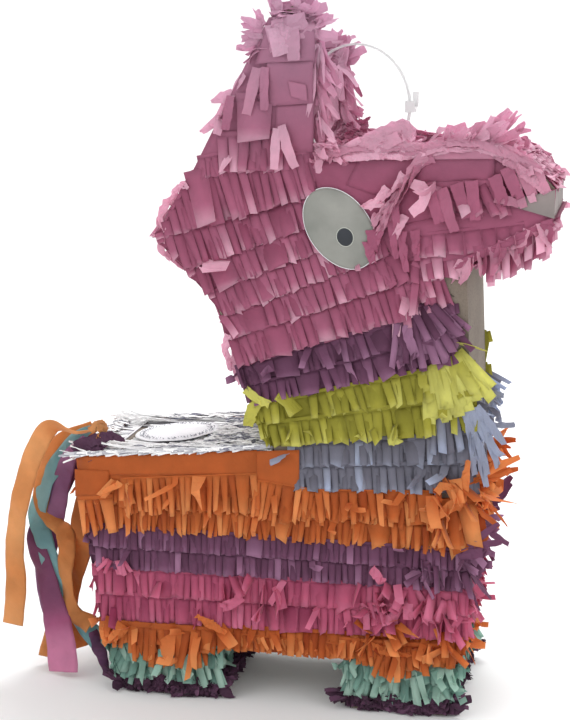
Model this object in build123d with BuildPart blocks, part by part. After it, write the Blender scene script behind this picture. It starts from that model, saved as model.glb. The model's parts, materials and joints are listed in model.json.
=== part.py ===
"""Donkey pinata of corrugated cardboard, covered in bands of cut tissue fringe.

Millimetres. +X is forward, towards the nose, +Y is the animal's left and +Z is up. The origin is
on the floor, in the middle of the whole object. Side-view outlines are (x, z) pairs.
"""

import os
from math import radians, tan

from build123d import *

os.makedirs("parts", exist_ok=True)

# Sheet materials
width = 100.0  # over the outer faces of the two side panels
card = 3.0  # corrugated cardboard
fringe = 2.4  # a band of tissue fringe, as it lies on the cardboard
row_gap = 0.6  # between one row of fringe and the next
paper = 0.5  # glued-on paper: eyes, mouth and label
half_width = width / 2
inside = half_width - card

# Corners of the cardboard wall, seen from the side, in order round the body
withers = (8, 165)
rump_top = (-120, 154)
rump_bottom = (-106, 38)
rear_heel = (-88, 0)
rear_toe = (-34, 0)
belly_rear = (-32, 37)
belly_front = (56, 37)
front_heel = (58, 0)
front_toe = (118, 0)
chest_low = (126, 45)
chest_top = (130.5, 165)
throat = (125, 284)
chin = (175, 313)
nose = (175, 331)
muzzle_brow = (161, 346)
muzzle_top = (135, 351)
forehead = (16, 343.5)
nape_top = (-44, 335)
nape = (-65, 296)
head_low = (-30, 260)
wall = [
    withers, rump_top, rump_bottom, rear_heel, rear_toe, belly_rear, belly_front, front_heel,
    front_toe, chest_low, chest_top, throat, chin, nose, muzzle_brow, muzzle_top, forehead,
    nape_top, nape, head_low,
]

# Ears are part of the side panels; the left one is shorter
ear_base = (31.5, 344.5)
right_ear_height = 437
left_ear_height = 414
ear_front_x, ear_front_drop = 32, 7
ear_tip_x = 21
ear_back_x, ear_back_drop = 6, 11

# Filling flap, measured along the back from the rump's top edge
flap_hinge = 20
flap_length = 64
flap_width = 64
flap_cut = 0.4  # width of the knife cut round it
label_radius = 28

# Hanging loop: a nylon tie closed through two holes in the top of the muzzle
loop_x, loop_z = 49.4, 375.5
loop_half_length, loop_half_height = 34, 38.5
tie_width, tie_thick = 4.8, 1.3
tie_hole_rear, tie_hole_front = 17.2, 20.8  # from the middle of the loop
tie_hole_radius = 9
tie_hole_z = 345
tie_lock = (6, 9, 7)
tie_tail = (3, 4.8, 9)

# Cut lines between rows of fringe: height where the line crosses x = row_x, and its slope in degrees
row_x = 24
ear_rows = {
    "right": [(440, 0), (419, 1), (401.6, 2), (375, 2), (349, 8)],
    "left": [(417, 0), (398, 1), (375, 2), (349, 8)],
}
head_rows = [(349, 8), (321, 16), (302.5, 20), (285.5, 22), (267.5, 22), (250, 20), (230, 18)]
neck_purple_rows = [(230, 18), (215, 16), (201, 14)]
neck_lime_rows = [(201, 14), (186, 10.5), (170, 7)]
neck_grey_rows = [(170, 7), (156, 4.5), (141, 2)]
chest_grey_rows = [(199, 0), (180, 0), (161, 0), (142, 0)]
orange_header = [(175, 0), (138, 0)]
orange_rows = [(138, 0), (124, -0.5), (109, -0.5)]
purple_rows = [(109, -0.5), (96, 0), (82.5, 0)]
pink_rows = [(82.5, 0), (66, 0.5), (49, 1)]
hem_rows = [(49, 1), (33, 0)]
teal_rows = [(33, 0), (20, 0), (9, 0)]
plum_rows = [(9, 0), (0, 0)]
header_front = 18  # the orange header stops here, at the shoulder
bare_margin = 9  # cardboard left bare at the front edge of the upper neck
row_reach = 170  # how far a cut line runs each way
neck_reach = 50  # the neck's cut lines fan out and would cross further back

# Face
eye_centre, eye_length, eye_height, eye_turn = (48.5, 305), 37, 54, 38
pupil_centre, pupil_length, pupil_height = (52, 300), 9, 11
mouth_corner, mouth_upper, mouth_lower = (143.5, 322.5), (175, 330.2), (175, 313.8)

# Tail: loose tissue streamers that hang from the rump's top edge
streamer_thick = 0.6
tail_hinge = (-120, 156)
tail_swing = 75


def left_of(start, end):
    """Unit normal to the left of a run from start to end."""
    run = Vector(*end) - Vector(*start)
    return Vector(-run.Y, run.X).normalized()


def moved_in(corner, depth):
    """A wall corner moved inward so that both of its walls move in by depth."""
    place = wall.index(corner)
    before = left_of(wall[place - 1], corner)
    after = left_of(corner, wall[(place + 1) % len(wall)])
    shift = (before + after) * (depth / (1 + before.dot(after)))
    return (corner[0] + shift.X, corner[1] + shift.Y)


def wall_layer(first, last, near, far):
    """Side view of a layer of wall from one corner to another, between two depths."""
    start, stop = wall.index(first), wall.index(last)
    run = [wall[place % len(wall)] for place in range(start, stop + 1 + len(wall) * (stop < start))]
    return [moved_in(corner, near) for corner in run] + [moved_in(corner, far) for corner in run[::-1]]


def between(upper, lower, back, front):
    """Four-sided area between two cut lines, less half a gap at each."""
    def point(line, end, gap):
        height, slope = line
        return (row_x + end, height + gap / 2 + end * tan(radians(slope)))

    return [
        point(upper, -back, -row_gap), point(upper, front, -row_gap),
        point(lower, front, row_gap), point(lower, -back, row_gap),
    ]


def outline_face(points, mode=Mode.ADD):
    """Closed outline of straight lines, in the sketch that is being made."""
    Polygon(*points, align=None, mode=mode)


def row_sketch(plane, outline, upper, lower, back=row_reach, front=row_reach):
    """The part of an outline that lies between two cut lines."""
    with BuildSketch(plane) as row:
        outline_face(outline)
        outline_face(between(upper, lower, back, front), Mode.INTERSECT)
    return row.sketch


def rows_on_side(outline, rows, side, back=row_reach, front=row_reach):
    """Rows of fringe on a side panel: side is -1 on the right and 1 on the left."""
    face = Plane.XZ.offset(-side * half_width)
    for upper, lower in zip(rows, rows[1:]):
        extrude(row_sketch(face, outline, upper, lower, back, front), amount=-side * fringe)


def rows_on_wall(first, last, rows):
    """Rows of fringe on the wall between the side panels."""
    layer = wall_layer(first, last, -fringe, 0)
    for upper, lower in zip(rows, rows[1:]):
        extrude(row_sketch(Plane.XZ, layer, upper, lower), amount=half_width - row_gap, both=True)


def rows_wrapped(outline, rows, core, back=row_reach, front=row_reach):
    """Rows of fringe wound round a limb: an outline that stands proud of the core it is wound on."""
    for upper, lower in zip(rows, rows[1:]):
        row = row_sketch(Plane.XZ, outline, upper, lower, back, front)
        extrude(row, amount=half_width + fringe, both=True)
    with BuildSketch(Plane.XZ) as middle:
        outline_face(core)
    extrude(middle.sketch, amount=half_width, both=True, mode=Mode.SUBTRACT)


def save(part, label):
    """Name a finished piece and write it."""
    part.label = label
    export_step(part, f"parts/{label}.step")


def panel_outline(ear_height):
    """Side view of a side panel, with its ear."""
    ear = [
        ear_base, (ear_front_x, ear_height - ear_front_drop), (ear_tip_x, ear_height),
        (ear_back_x, ear_height - ear_back_drop),
    ]
    place = wall.index(forehead)
    return wall[:place] + ear + wall[place + 1:]


# --- Cardboard shell ---

sides = {"right": (-1, panel_outline(right_ear_height)), "left": (1, panel_outline(left_ear_height))}

for name, (side, outline) in sides.items():
    with BuildPart() as side_panel:
        with BuildSketch(Plane.XZ.offset(-side * inside)):
            outline_face(outline)
        extrude(amount=-side * card)
    save(side_panel.part, f"{name}_side_panel")

# The wall between the panels is a chain of strips, bent where one strip goes round a corner
strips = {
    "rump_strip": (rump_top, rump_bottom),
    "rear_foot_strip": (rump_bottom, belly_rear),
    "belly_strip": (belly_rear, belly_front),
    "front_foot_strip": (belly_front, chest_low),
    "chest_strip": (chest_low, chest_top),
    "neck_front_strip": (chest_top, throat),
    "jaw_strip": (throat, chin),
    "nose_strip": (chin, muzzle_top),
    "crown_strip": (forehead, nape_top),
    "head_back_strip": (nape_top, head_low),
    "neck_back_strip": (head_low, withers),
}
for name, (first, last) in strips.items():
    with BuildPart() as strip:
        with BuildSketch(Plane.XZ):
            outline_face(wall_layer(first, last, 0, card))
        extrude(amount=inside, both=True)
    save(strip.part, name)

tie_holes = [(loop_x - tie_hole_rear, 0), (loop_x + tie_hole_front, 0)]
with BuildPart() as muzzle_top_strip:
    with BuildSketch(Plane.XZ):
        outline_face(wall_layer(muzzle_top, forehead, 0, card))
    extrude(amount=inside, both=True)
    with BuildSketch(Plane.XY.offset(tie_hole_z)):
        with Locations(*tie_holes):
            Circle(tie_hole_radius)
    extrude(amount=2 * card, both=True, mode=Mode.SUBTRACT)
save(muzzle_top_strip.part, "muzzle_top_strip")

# The back has its own plane: x runs forward along it from the rump's top edge
along_back = Vector(withers[0] - rump_top[0], 0, withers[1] - rump_top[1])
back_length = along_back.length
back_plane = Plane(
    origin=(rump_top[0], 0, rump_top[1]),
    x_dir=along_back,
    z_dir=(-along_back.Z, 0, along_back.X),
)
flap_middle = flap_hinge + flap_length / 2

with BuildPart() as back_strip:
    with BuildSketch(Plane.XZ):
        outline_face(wall_layer(withers, rump_top, 0, card))
    extrude(amount=inside, both=True)
    with BuildSketch(back_plane):
        with Locations((flap_middle, 0)):
            Rectangle(flap_length + 2 * flap_cut, flap_width + 2 * flap_cut)
    extrude(amount=2 * card, both=True, mode=Mode.SUBTRACT)
save(back_strip.part, "back_strip")

with BuildPart() as fill_flap:
    with BuildSketch(back_plane):
        with Locations((flap_middle, 0)):
            Rectangle(flap_length, flap_width)
    extrude(amount=-card)
save(fill_flap.part, "fill_flap")

# Glue runs along both inside corners of every wall, a little short of each bend
bead = 2.5
bead_end = 6
with BuildPart() as glue_beads:
    for place, corner in enumerate(wall):
        following = wall[(place + 1) % len(wall)]
        start, end = (Vector(*moved_in(point, card)) for point in (corner, following))
        run = (end - start).normalized()
        inward = Vector(-run.Y, run.X) * bead
        start, end = start + run * bead_end, end - run * bead_end
        section = [(point.X, point.Y) for point in (start, end, end + inward, start + inward)]
        for side in (-1, 1):
            with BuildSketch(Plane.XZ.offset(-side * inside)):
                outline_face(section)
            extrude(amount=side * bead)
save(glue_beads.part, "glue_beads")

# --- Hanging loop ---

with BuildPart() as hanger_loop:
    with BuildSketch(Plane.XZ):
        with Locations((loop_x, loop_z)):
            Ellipse(loop_half_length, loop_half_height)
            Ellipse(loop_half_length - tie_thick, loop_half_height - tie_thick, mode=Mode.SUBTRACT)
    extrude(amount=tie_width / 2, both=True)
    with Locations((loop_x + loop_half_length, 0, loop_z)):
        Box(*tie_lock)
    with Locations((loop_x + loop_half_length + tie_tail[0], 0, loop_z + tie_tail[2] / 2)):
        Box(*tie_tail)
save(hanger_loop.part, "hanger_loop")

# --- Fringe on the head and neck ---

front_in = (chest_top[0] - bare_margin, chest_top[1])
for name, (side, outline) in sides.items():
    place = outline.index(chest_top)
    covered = outline[:place] + [front_in, moved_in(throat, bare_margin)] + outline[place + 1:]
    with BuildPart() as head_fringe:
        rows_on_side(covered, head_rows, side)
    save(head_fringe.part, f"{name}_head_fringe")

    lining = [moved_in(forehead, -2 * fringe), (ear_base[0], ear_base[1] + 2 * fringe)]
    lining += outline[wall.index(forehead) + 1:wall.index(forehead) + 4]
    lining += [moved_in(nape_top, -2 * fringe)]
    with BuildPart() as ear_fringe:
        rows_on_side(covered, ear_rows[name], side)
        with BuildSketch(Plane.XZ.offset(-side * inside)):
            outline_face(lining)
        extrude(amount=side * paper)
    save(ear_fringe.part, f"{name}_ear_fringe")

with BuildPart() as nape_fringe:
    rows_on_wall(nape_top, withers, head_rows)
save(nape_fringe.part, "nape_fringe")

with BuildPart() as crown_fringe:
    with BuildSketch(Plane.XZ):
        outline_face(wall_layer(forehead, nape_top, -fringe, 0))
    extrude(amount=inside - row_gap, both=True)
save(crown_fringe.part, "crown_fringe")

with BuildPart() as muzzle_top_fringe:
    with BuildSketch(Plane.XZ):
        outline_face(wall_layer(nose, forehead, -fringe, 0))
    extrude(amount=inside - row_gap, both=True)
    with BuildSketch(Plane.XY.offset(tie_hole_z)):
        with Locations(*tie_holes):
            Circle(tie_hole_radius + 1)
    extrude(amount=4 * card, both=True, mode=Mode.SUBTRACT)
save(muzzle_top_fringe.part, "muzzle_top_fringe")

with BuildPart() as jaw_fringe:
    with BuildSketch(Plane.XZ):
        outline_face(wall_layer(throat, chin, -fringe, 0))
    extrude(amount=half_width - row_gap, both=True)
save(jaw_fringe.part, "jaw_fringe")

neck_back = [moved_in(withers, -fringe), moved_in(head_low, -fringe)]
neck_core = [withers, chest_top, throat, head_low]
bare_front = neck_back + [moved_in(throat, bare_margin), front_in]
with BuildPart() as neck_purple_fringe:
    rows_wrapped(bare_front, neck_purple_rows, neck_core, neck_reach)
save(neck_purple_fringe.part, "neck_purple_fringe")

with BuildPart() as neck_lime_fringe:
    rows_wrapped(neck_back + [throat, chest_top], neck_lime_rows, neck_core, neck_reach)
save(neck_lime_fringe.part, "neck_lime_fringe")

with BuildPart() as neck_grey_fringe:
    for side in (-1, 1):
        rows_on_side(wall, neck_grey_rows, side, back=row_x - header_front - row_gap)
    rows_on_wall(chest_low, throat, chest_grey_rows)
save(neck_grey_fringe.part, "neck_grey_fringe")

# --- Fringe on the body and feet ---

bands = {"orange": orange_rows, "purple": purple_rows, "pink": pink_rows, "hem": hem_rows}
skirt = [withers, rump_top, rump_bottom, rear_heel, front_toe, chest_low, chest_top]
for name, rows in bands.items():
    for side_name, (side, _) in sides.items():
        with BuildPart() as side_band:
            rows_on_side(skirt, rows, side)
            if name == "orange":
                rows_on_side(skirt, orange_header, side, front=header_front - row_x)
        save(side_band.part, f"{side_name}_{name}_fringe")

    with BuildPart() as chest_band:
        rows_on_wall(front_toe, chest_top, rows)
    save(chest_band.part, f"chest_{name}_fringe")

    with BuildPart() as rump_band:
        rows_on_wall(rump_top, rear_heel, rows)
        if name == "orange":
            rows_on_wall(rump_top, rear_heel, orange_header)
    save(rump_band.part, f"rump_{name}_fringe")

feet = [
    [rump_bottom, rear_heel, rear_toe, belly_rear],
    [belly_front, front_heel, front_toe, chest_low],
]
for name, rows in {"feet_teal_fringe": teal_rows, "feet_plum_fringe": plum_rows}.items():
    with BuildPart() as feet_band:
        for foot in feet:
            rows_wrapped([moved_in(corner, -fringe) for corner in foot], rows, foot)
    save(feet_band.part, name)

# --- Fringe, label and flap cover on the back ---

saddle_rows = 12.4  # spacing of the crosswise rows along the back
saddle_start = 6
saddle_front = flap_hinge + flap_length + 4
margin_width = (width - flap_width) / 2 - 3
with BuildPart() as saddle_fringe:
    with BuildSketch(back_plane):
        with Locations(((saddle_start + flap_hinge - 5) / 2, 0)):
            Rectangle(flap_hinge - 5 - saddle_start, width)
        for row in range(3):
            with Locations((saddle_front + saddle_rows * (row + 0.5), 0)):
                Rectangle(saddle_rows - row_gap, width)
        for side in (-1, 1):
            with Locations((flap_middle, side * (half_width - margin_width / 2))):
                Rectangle(flap_length + 4, margin_width)
    extrude(amount=fringe)
save(saddle_fringe.part, "saddle_fringe")

flap_rows = 4
flap_row_start = flap_hinge + 4
flap_row = (flap_length - 4) / flap_rows
with BuildPart() as flap_fringe:
    with BuildSketch(back_plane):
        for row in range(flap_rows):
            with Locations((flap_row_start + flap_row * (row + 0.5), 0)):
                Rectangle(flap_row - row_gap, flap_width)
    extrude(amount=fringe)
save(flap_fringe.part, "flap_fringe")

with BuildPart() as fill_label:
    with BuildSketch(back_plane.offset(fringe)):
        with Locations((flap_middle, 0)):
            Circle(label_radius)
    extrude(amount=paper)
save(fill_label.part, "fill_label")

# --- Eyes and mouth ---

for name, (side, _) in sides.items():
    with BuildPart() as eye:
        with BuildSketch(Plane.XZ.offset(-side * (half_width + fringe))):
            with Locations(Location((*eye_centre, 0), (0, 0, eye_turn))):
                Ellipse(eye_length / 2, eye_height / 2)
        extrude(amount=-side * paper)
    save(eye.part, f"{name}_eye")

    with BuildPart() as pupil:
        with BuildSketch(Plane.XZ.offset(-side * (half_width + fringe + paper))):
            with Locations(Location((*pupil_centre, 0), (0, 0, eye_turn))):
                Ellipse(pupil_length / 2, pupil_height / 2)
        extrude(amount=-side * paper)
    save(pupil.part, f"{name}_pupil")

# One folded paper makes the mouth: a triangle on each side, joined across the tip of the nose
mouth_half = half_width + fringe
with BuildPart() as mouth_paper:
    with BuildSketch(Plane.XZ):
        outline_face([mouth_corner, mouth_upper, mouth_lower])
    extrude(amount=mouth_half + paper, both=True)
    with BuildSketch(Plane.XZ):
        outline_face([mouth_corner, mouth_upper, mouth_lower])
    extrude(amount=mouth_half, both=True, mode=Mode.SUBTRACT)
    with BuildSketch(Plane.YZ.offset(nose[0])):
        with Locations((0, (mouth_upper[1] + mouth_lower[1]) / 2)):
            Rectangle(2 * (mouth_half + paper), mouth_upper[1] - mouth_lower[1])
    extrude(amount=paper)
save(mouth_paper.part, "mouth_paper")

# --- Tail ---

# Each streamer: distance to the right of the middle, width, and its line from the root down
streamers = {
    "tail_orange_long": [
        (44, 13, [
            (-128, 171), (-141, 172), (-152, 156), (-160, 136), (-166, 112), (-169, 88), (-170, 60),
            (-170.9, 38),
        ]),
    ],
    "tail_pink": [
        (36, 14, [
            (-133, 149), (-142, 128), (-152, 110), (-159, 90), (-152, 67), (-146, 47), (-142, 27),
            (-139, 4),
        ]),
    ],
    "tail_teal": [
        (28, 13, [
            (-131, 161), (-143, 141), (-153, 124), (-160, 106), (-153, 92), (-149, 76), (-142, 56),
            (-131, 38), (-119, 22),
        ]),
    ],
    "tail_orange_short": [
        (20, 13, [
            (-131, 163), (-145, 153), (-153, 134), (-153, 115), (-147, 103), (-140, 88), (-138, 68),
            (-137, 44), (-137, 19),
        ]),
        (16, 13, [(-146, 74), (-152, 36), (-157, 5)]),
    ],
    "tail_purple": [
        (10, 12, [
            (-131, 157), (-139, 134), (-144, 115), (-149, 95), (-157, 70), (-157, 45), (-152, 25),
            (-150, 8),
        ]),
        (40, 8, [(-124, 48), (-116, 27), (-109, 5)]),
    ],
}
for name, strands in streamers.items():
    with BuildPart() as streamer:
        for depth, ribbon_width, line in strands:
            with BuildSketch(Plane.XZ.offset(depth)):
                with BuildLine():
                    Polyline(*line)
                trace(line_width=ribbon_width)
            extrude(amount=streamer_thick)
    save(streamer.part, name)
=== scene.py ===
"""A donkey pinata: the looks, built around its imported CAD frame. Metres, in the frame's own axes."""
import json
import math

import bpy
import numpy as np
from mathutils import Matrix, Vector


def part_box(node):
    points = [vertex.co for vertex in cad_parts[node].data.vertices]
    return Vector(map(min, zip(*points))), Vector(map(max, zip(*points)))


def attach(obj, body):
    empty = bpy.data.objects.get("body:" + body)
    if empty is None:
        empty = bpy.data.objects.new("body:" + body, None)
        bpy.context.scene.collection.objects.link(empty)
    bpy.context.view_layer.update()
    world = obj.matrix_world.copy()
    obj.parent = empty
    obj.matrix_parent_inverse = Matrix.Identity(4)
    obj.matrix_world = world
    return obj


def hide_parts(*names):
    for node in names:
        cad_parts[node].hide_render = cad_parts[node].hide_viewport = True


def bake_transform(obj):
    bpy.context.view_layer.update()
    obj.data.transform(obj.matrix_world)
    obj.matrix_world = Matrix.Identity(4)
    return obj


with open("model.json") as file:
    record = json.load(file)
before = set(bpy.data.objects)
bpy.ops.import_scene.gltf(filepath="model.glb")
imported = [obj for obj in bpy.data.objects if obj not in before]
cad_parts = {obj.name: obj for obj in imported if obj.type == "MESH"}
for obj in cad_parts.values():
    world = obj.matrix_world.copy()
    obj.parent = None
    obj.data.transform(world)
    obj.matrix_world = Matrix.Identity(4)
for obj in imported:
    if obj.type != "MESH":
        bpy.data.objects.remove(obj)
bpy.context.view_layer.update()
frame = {"nodes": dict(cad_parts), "record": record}

MM = 0.001
DEGREE = math.pi / 180
UP = np.array([0.0, 0.0, 1.0])
DOWN = -UP
FORWARD = np.array([1.0, 0.0, 0.0])
BACKWARD = -FORWARD
LEFT = np.array([0.0, 1.0, 0.0])
SIDES = ((-1, "right"), (1, "left"))

TISSUE = 0.16 * MM       # thickness of one sheet of tissue
BROAD = 3.0 * MM         # a CAD face narrower than this is the edge of a row, not its front
ROW_DEPTH = 2.4 * MM     # how far a CAD band's face stands off the cardboard
BODY_CENTRE = np.array([0.0, 0.0, 0.10])
HEAD_CENTRE = np.array([0.02, 0.0, 0.30])
SEGMENTS = 6             # along a finger

# in millimetres
FINGER = 5.6             # width of one cut finger
PANEL = 50               # from the middle plane to the outer face of a side panel
EAR_FOOT = 345           # where the ears leave the head
EAR_TIPS = {-1: 437, 1: 414}


# ---------------------------------------------------------------- camera, floor and light

def in_scene(name, data):
    thing = bpy.data.objects.new(name, data)
    bpy.context.scene.collection.objects.link(thing)
    return thing


def make_camera():
    """The photograph's angle, at the distance where a long lens frames the donkey as the photo does."""
    azimuth, elevation, distance, target = math.radians(12), math.radians(11), 1.07, Vector((0.004, 0, 0.213))
    back = Vector((
        math.sin(azimuth) * math.cos(elevation),
        -math.cos(azimuth) * math.cos(elevation),
        math.sin(elevation),
    ))
    camera = in_scene("camera", bpy.data.cameras.new("camera"))
    camera.data.lens = 82.9
    camera.data.clip_start = 0.05
    camera.location = target + back * distance
    camera.rotation_euler = (-back).to_track_quat("-Z", "Y").to_euler()
    bpy.context.scene.camera = camera


def make_floor():
    """A pale floor that curves up behind."""
    half, rise_at, radius, top, steps = 3.0, 1.4, 0.8, 3.0, 12
    profile = [(-half, 0.0), (rise_at, 0.0)]
    for step in range(1, steps + 1):
        turn = math.pi / 2 * step / steps
        profile.append((rise_at + radius * math.sin(turn), radius * (1 - math.cos(turn))))
    profile.append((rise_at + radius, top))
    corners = [(x, y, z) for y, z in profile for x in (-half, half)]
    quads = [(2 * i, 2 * i + 1, 2 * i + 3, 2 * i + 2) for i in range(len(profile) - 1)]
    mesh = bpy.data.meshes.new("floor")
    mesh.from_pydata(corners, [], quads)
    mesh.polygons.foreach_set("use_smooth", [True] * len(quads))
    look = Look("pale_floor", 0.9)
    look.shader.inputs["Base Color"].default_value = (0.9, 0.9, 0.9, 1)
    mesh.materials.append(look.material)
    in_scene("floor", mesh)


def make_light():
    """Soft studio light: three round lamps aimed at the donkey's middle, and a white world."""
    middle = Vector((0, 0, 0.2))
    for name, place, size, power in (("back_top", (0.3, 1.0, 1.7), 1.2, 24),
                                     ("front_left", (-1.3, -1.6, 1.3), 1.4, 7),
                                     ("front_right", (1.5, -1.2, 1.0), 1.2, 4)):
        lamp = in_scene(name, bpy.data.lights.new(name, "AREA"))
        lamp.data.shape = "DISK"
        lamp.data.size = size
        lamp.data.energy = power
        lamp.location = place
        lamp.rotation_euler = (middle - Vector(place)).to_track_quat("-Z", "Y").to_euler()
    world = bpy.data.worlds.new("studio")
    world.use_nodes = True
    background = world.node_tree.nodes["Background"]
    background.inputs["Color"].default_value = (1, 1, 1, 1)
    background.inputs["Strength"].default_value = 0.95
    bpy.context.scene.world = world
    bpy.context.scene.view_settings.view_transform = "Standard"


# ---------------------------------------------------------------- materials

def linear(red, green, blue):
    """A colour given as 0 to 255, as Blender's shaders take it."""
    parts = [c / 255 for c in (red, green, blue)]
    return [c / 12.92 if c <= 0.04045 else ((c + 0.055) / 1.055) ** 2.4 for c in parts]


class Look:
    """A material in the making, with the few kinds of node that the looks are built from."""

    def __init__(self, name, roughness):
        self.material = bpy.data.materials.new(name)
        self.material.use_nodes = True
        self.nodes, self.links = self.material.node_tree.nodes, self.material.node_tree.links
        self.shader = self.nodes["Principled BSDF"]
        self.shader.inputs["Roughness"].default_value = roughness

    def node(self, kind, **values):
        """A new node; values are its inputs, by name."""
        node = self.nodes.new("ShaderNode" + kind)
        for name, value in values.items():
            node.inputs[name].default_value = value
        return node

    def texture(self, kind, **values):
        """A texture in the piece's own coordinates."""
        node = self.node("Tex" + kind, **values)
        self.links.new(self.node("TexCoord").outputs["Object"], node.inputs["Vector"])
        return node

    def noise(self, scale, detail, stretch=None):
        """Noise at so many bumps to the metre."""
        place = self.node("TexCoord").outputs["Object"]
        if stretch:
            mapping = self.node("Mapping", Scale=stretch)
            self.links.new(place, mapping.inputs["Vector"])
            place = mapping.outputs["Vector"]
        node = self.node("TexNoise", Scale=scale, Detail=detail)
        self.links.new(place, node.inputs["Vector"])
        return node.outputs["Fac"]

    def ramp(self, source, *stops):
        """A colour ramp fed by source. Each stop is a place, and a colour or a grey."""
        node = self.node("ValToRGB")
        elements = node.color_ramp.elements
        while len(elements) < len(stops):
            elements.new(0.5)
        for element, (place, colour) in zip(elements, stops):
            element.position = place
            element.color = (*colour, 1) if isinstance(colour, list) else (colour, colour, colour, 1)
        self.links.new(source, node.inputs["Fac"])
        return node.outputs["Color"]

    def mixed(self, kind, factor, first, second):
        """Two colours mixed: factor is a number or a socket."""
        node = self.node("Mix")
        node.data_type = "RGBA"
        node.blend_type = kind
        for socket, value in ((node.inputs["Factor"], factor), (node.inputs[6], first),
                              (node.inputs[7], second)):
            if isinstance(value, bpy.types.NodeSocket):
                self.links.new(value, socket)
            elif isinstance(value, list):
                socket.default_value = (*value, 1)
            else:
                socket.default_value = value
        return node.outputs[2]

    def colour(self, source):
        self.links.new(source, self.shader.inputs["Base Color"])

    def bump(self, height, distance, strength):
        node = self.node("Bump", Distance=distance, Strength=strength)
        self.links.new(height, node.inputs["Height"])
        self.links.new(node.outputs["Normal"], self.shader.inputs["Normal"])
        return node.outputs["Normal"]


def tissue_material(name, dark, light, glow, through=0.45, pale=0.0, mottle=0.55):
    """Crinkled tissue: a tone for each finger that also carries painted shade and painted highlights, fine
    creases, and light that comes through.

    pale is how far the colour is painted paler and lavender at the height of the ears: a painted haze of
    backlight.
    """
    look = Look(name, 0.62)
    tone = look.node("Attribute")
    tone.attribute_name = "tone"
    # the ramp from tone: dark is a painted shade colour, light the tissue's own, glow a painted highlight of
    # backlight
    colour = look.ramp(tone.outputs["Fac"], (0.0, linear(*dark)), (0.6, linear(*light)), (1.0, linear(*glow)))
    cloud = look.ramp(look.noise(70, 4), (0.3, 0.72), (0.7, 1.0))
    colour = look.mixed("MULTIPLY", mottle, colour, cloud)
    # painted backlight haze: the colour turns paler and lavender towards the ears
    if pale:
        height = look.node("SeparateXYZ")
        look.links.new(look.node("TexCoord").outputs["Object"], height.inputs["Vector"])
        painted_haze = look.ramp(height.outputs["Z"], (0.33, 0), (0.43, pale))
        colour = look.mixed("MIX", painted_haze, colour, linear(214, 190, 216))
    look.colour(colour)
    look.shader.inputs["Sheen Weight"].default_value = 0.15
    look.shader.inputs["Specular IOR Level"].default_value = 0.3
    crinkle = look.texture("Voronoi", Scale=210)
    crinkle.feature = "DISTANCE_TO_EDGE"
    creases = look.ramp(crinkle.outputs["Distance"], (0.0, 0), (0.22, 1))
    normal = look.bump(look.mixed("MIX", 0.6, creases, look.noise(420, 5)), 0.35 * MM, 0.6)
    lit = look.node("BsdfTranslucent")
    look.links.new(colour, lit.inputs["Color"])
    look.links.new(normal, lit.inputs["Normal"])
    blend = look.node("MixShader", Fac=through)
    look.links.new(look.shader.outputs["BSDF"], blend.inputs[1])
    look.links.new(lit.outputs["BSDF"], blend.inputs[2])
    look.links.new(blend.outputs["Shader"], look.nodes["Material Output"].inputs["Surface"])
    return look.material


def cardboard_material():
    """Grey-brown corrugated board: liner fibres, faint flutes and dark specks."""
    look = Look("cardboard", 0.85)
    fibres = look.noise(900, 4, (1, 0.25, 1))
    base = look.ramp(look.noise(14, 4), (0.3, linear(112, 100, 90)), (0.7, linear(138, 126, 113)))
    base = look.mixed("MULTIPLY", 0.35, base, look.ramp(fibres, (0.35, 0.6), (0.6, 1)))
    specks = look.ramp(look.noise(330, 1), (0.24, 0.25), (0.29, 1))
    look.colour(look.mixed("MULTIPLY", 0.8, base, specks))
    flutes = look.texture("Wave", Scale=42, Distortion=0.6)
    flutes.bands_direction = "Z"
    look.bump(look.mixed("MIX", 0.5, flutes.outputs["Fac"], fibres), 0.25 * MM, 0.5)
    return look.material


def paper_material(name, dark, light, roughness=0.7):
    """Plain glued-on paper with a soft mottle and fine fibres."""
    look = Look(name, roughness)
    look.colour(look.ramp(look.noise(45, 5), (0.3, linear(*dark)), (0.7, linear(*light))))
    look.bump(look.noise(260, 5), 0.2 * MM, 0.4)
    return look.material


def nylon_material():
    """Clear, slightly milky nylon."""
    look = Look("nylon", 0.28)
    look.colour(look.ramp(look.noise(60, 2), (0.3, [0.86, 0.88, 0.88]), (0.7, [0.95, 0.96, 0.96])))
    look.shader.inputs["Transmission Weight"].default_value = 0.55
    look.shader.inputs["IOR"].default_value = 1.5
    look.bump(look.noise(350, 2), 0.1 * MM, 0.3)
    return look.material


def glue_material():
    """Yellowed hot glue, lumpy and shiny."""
    look = Look("hot_glue", 0.3)
    look.colour(look.ramp(look.noise(90, 2), (0.3, linear(214, 206, 180)), (0.7, linear(236, 230, 210))))
    look.bump(look.noise(150, 2), 0.4 * MM, 0.5)
    return look.material


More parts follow.
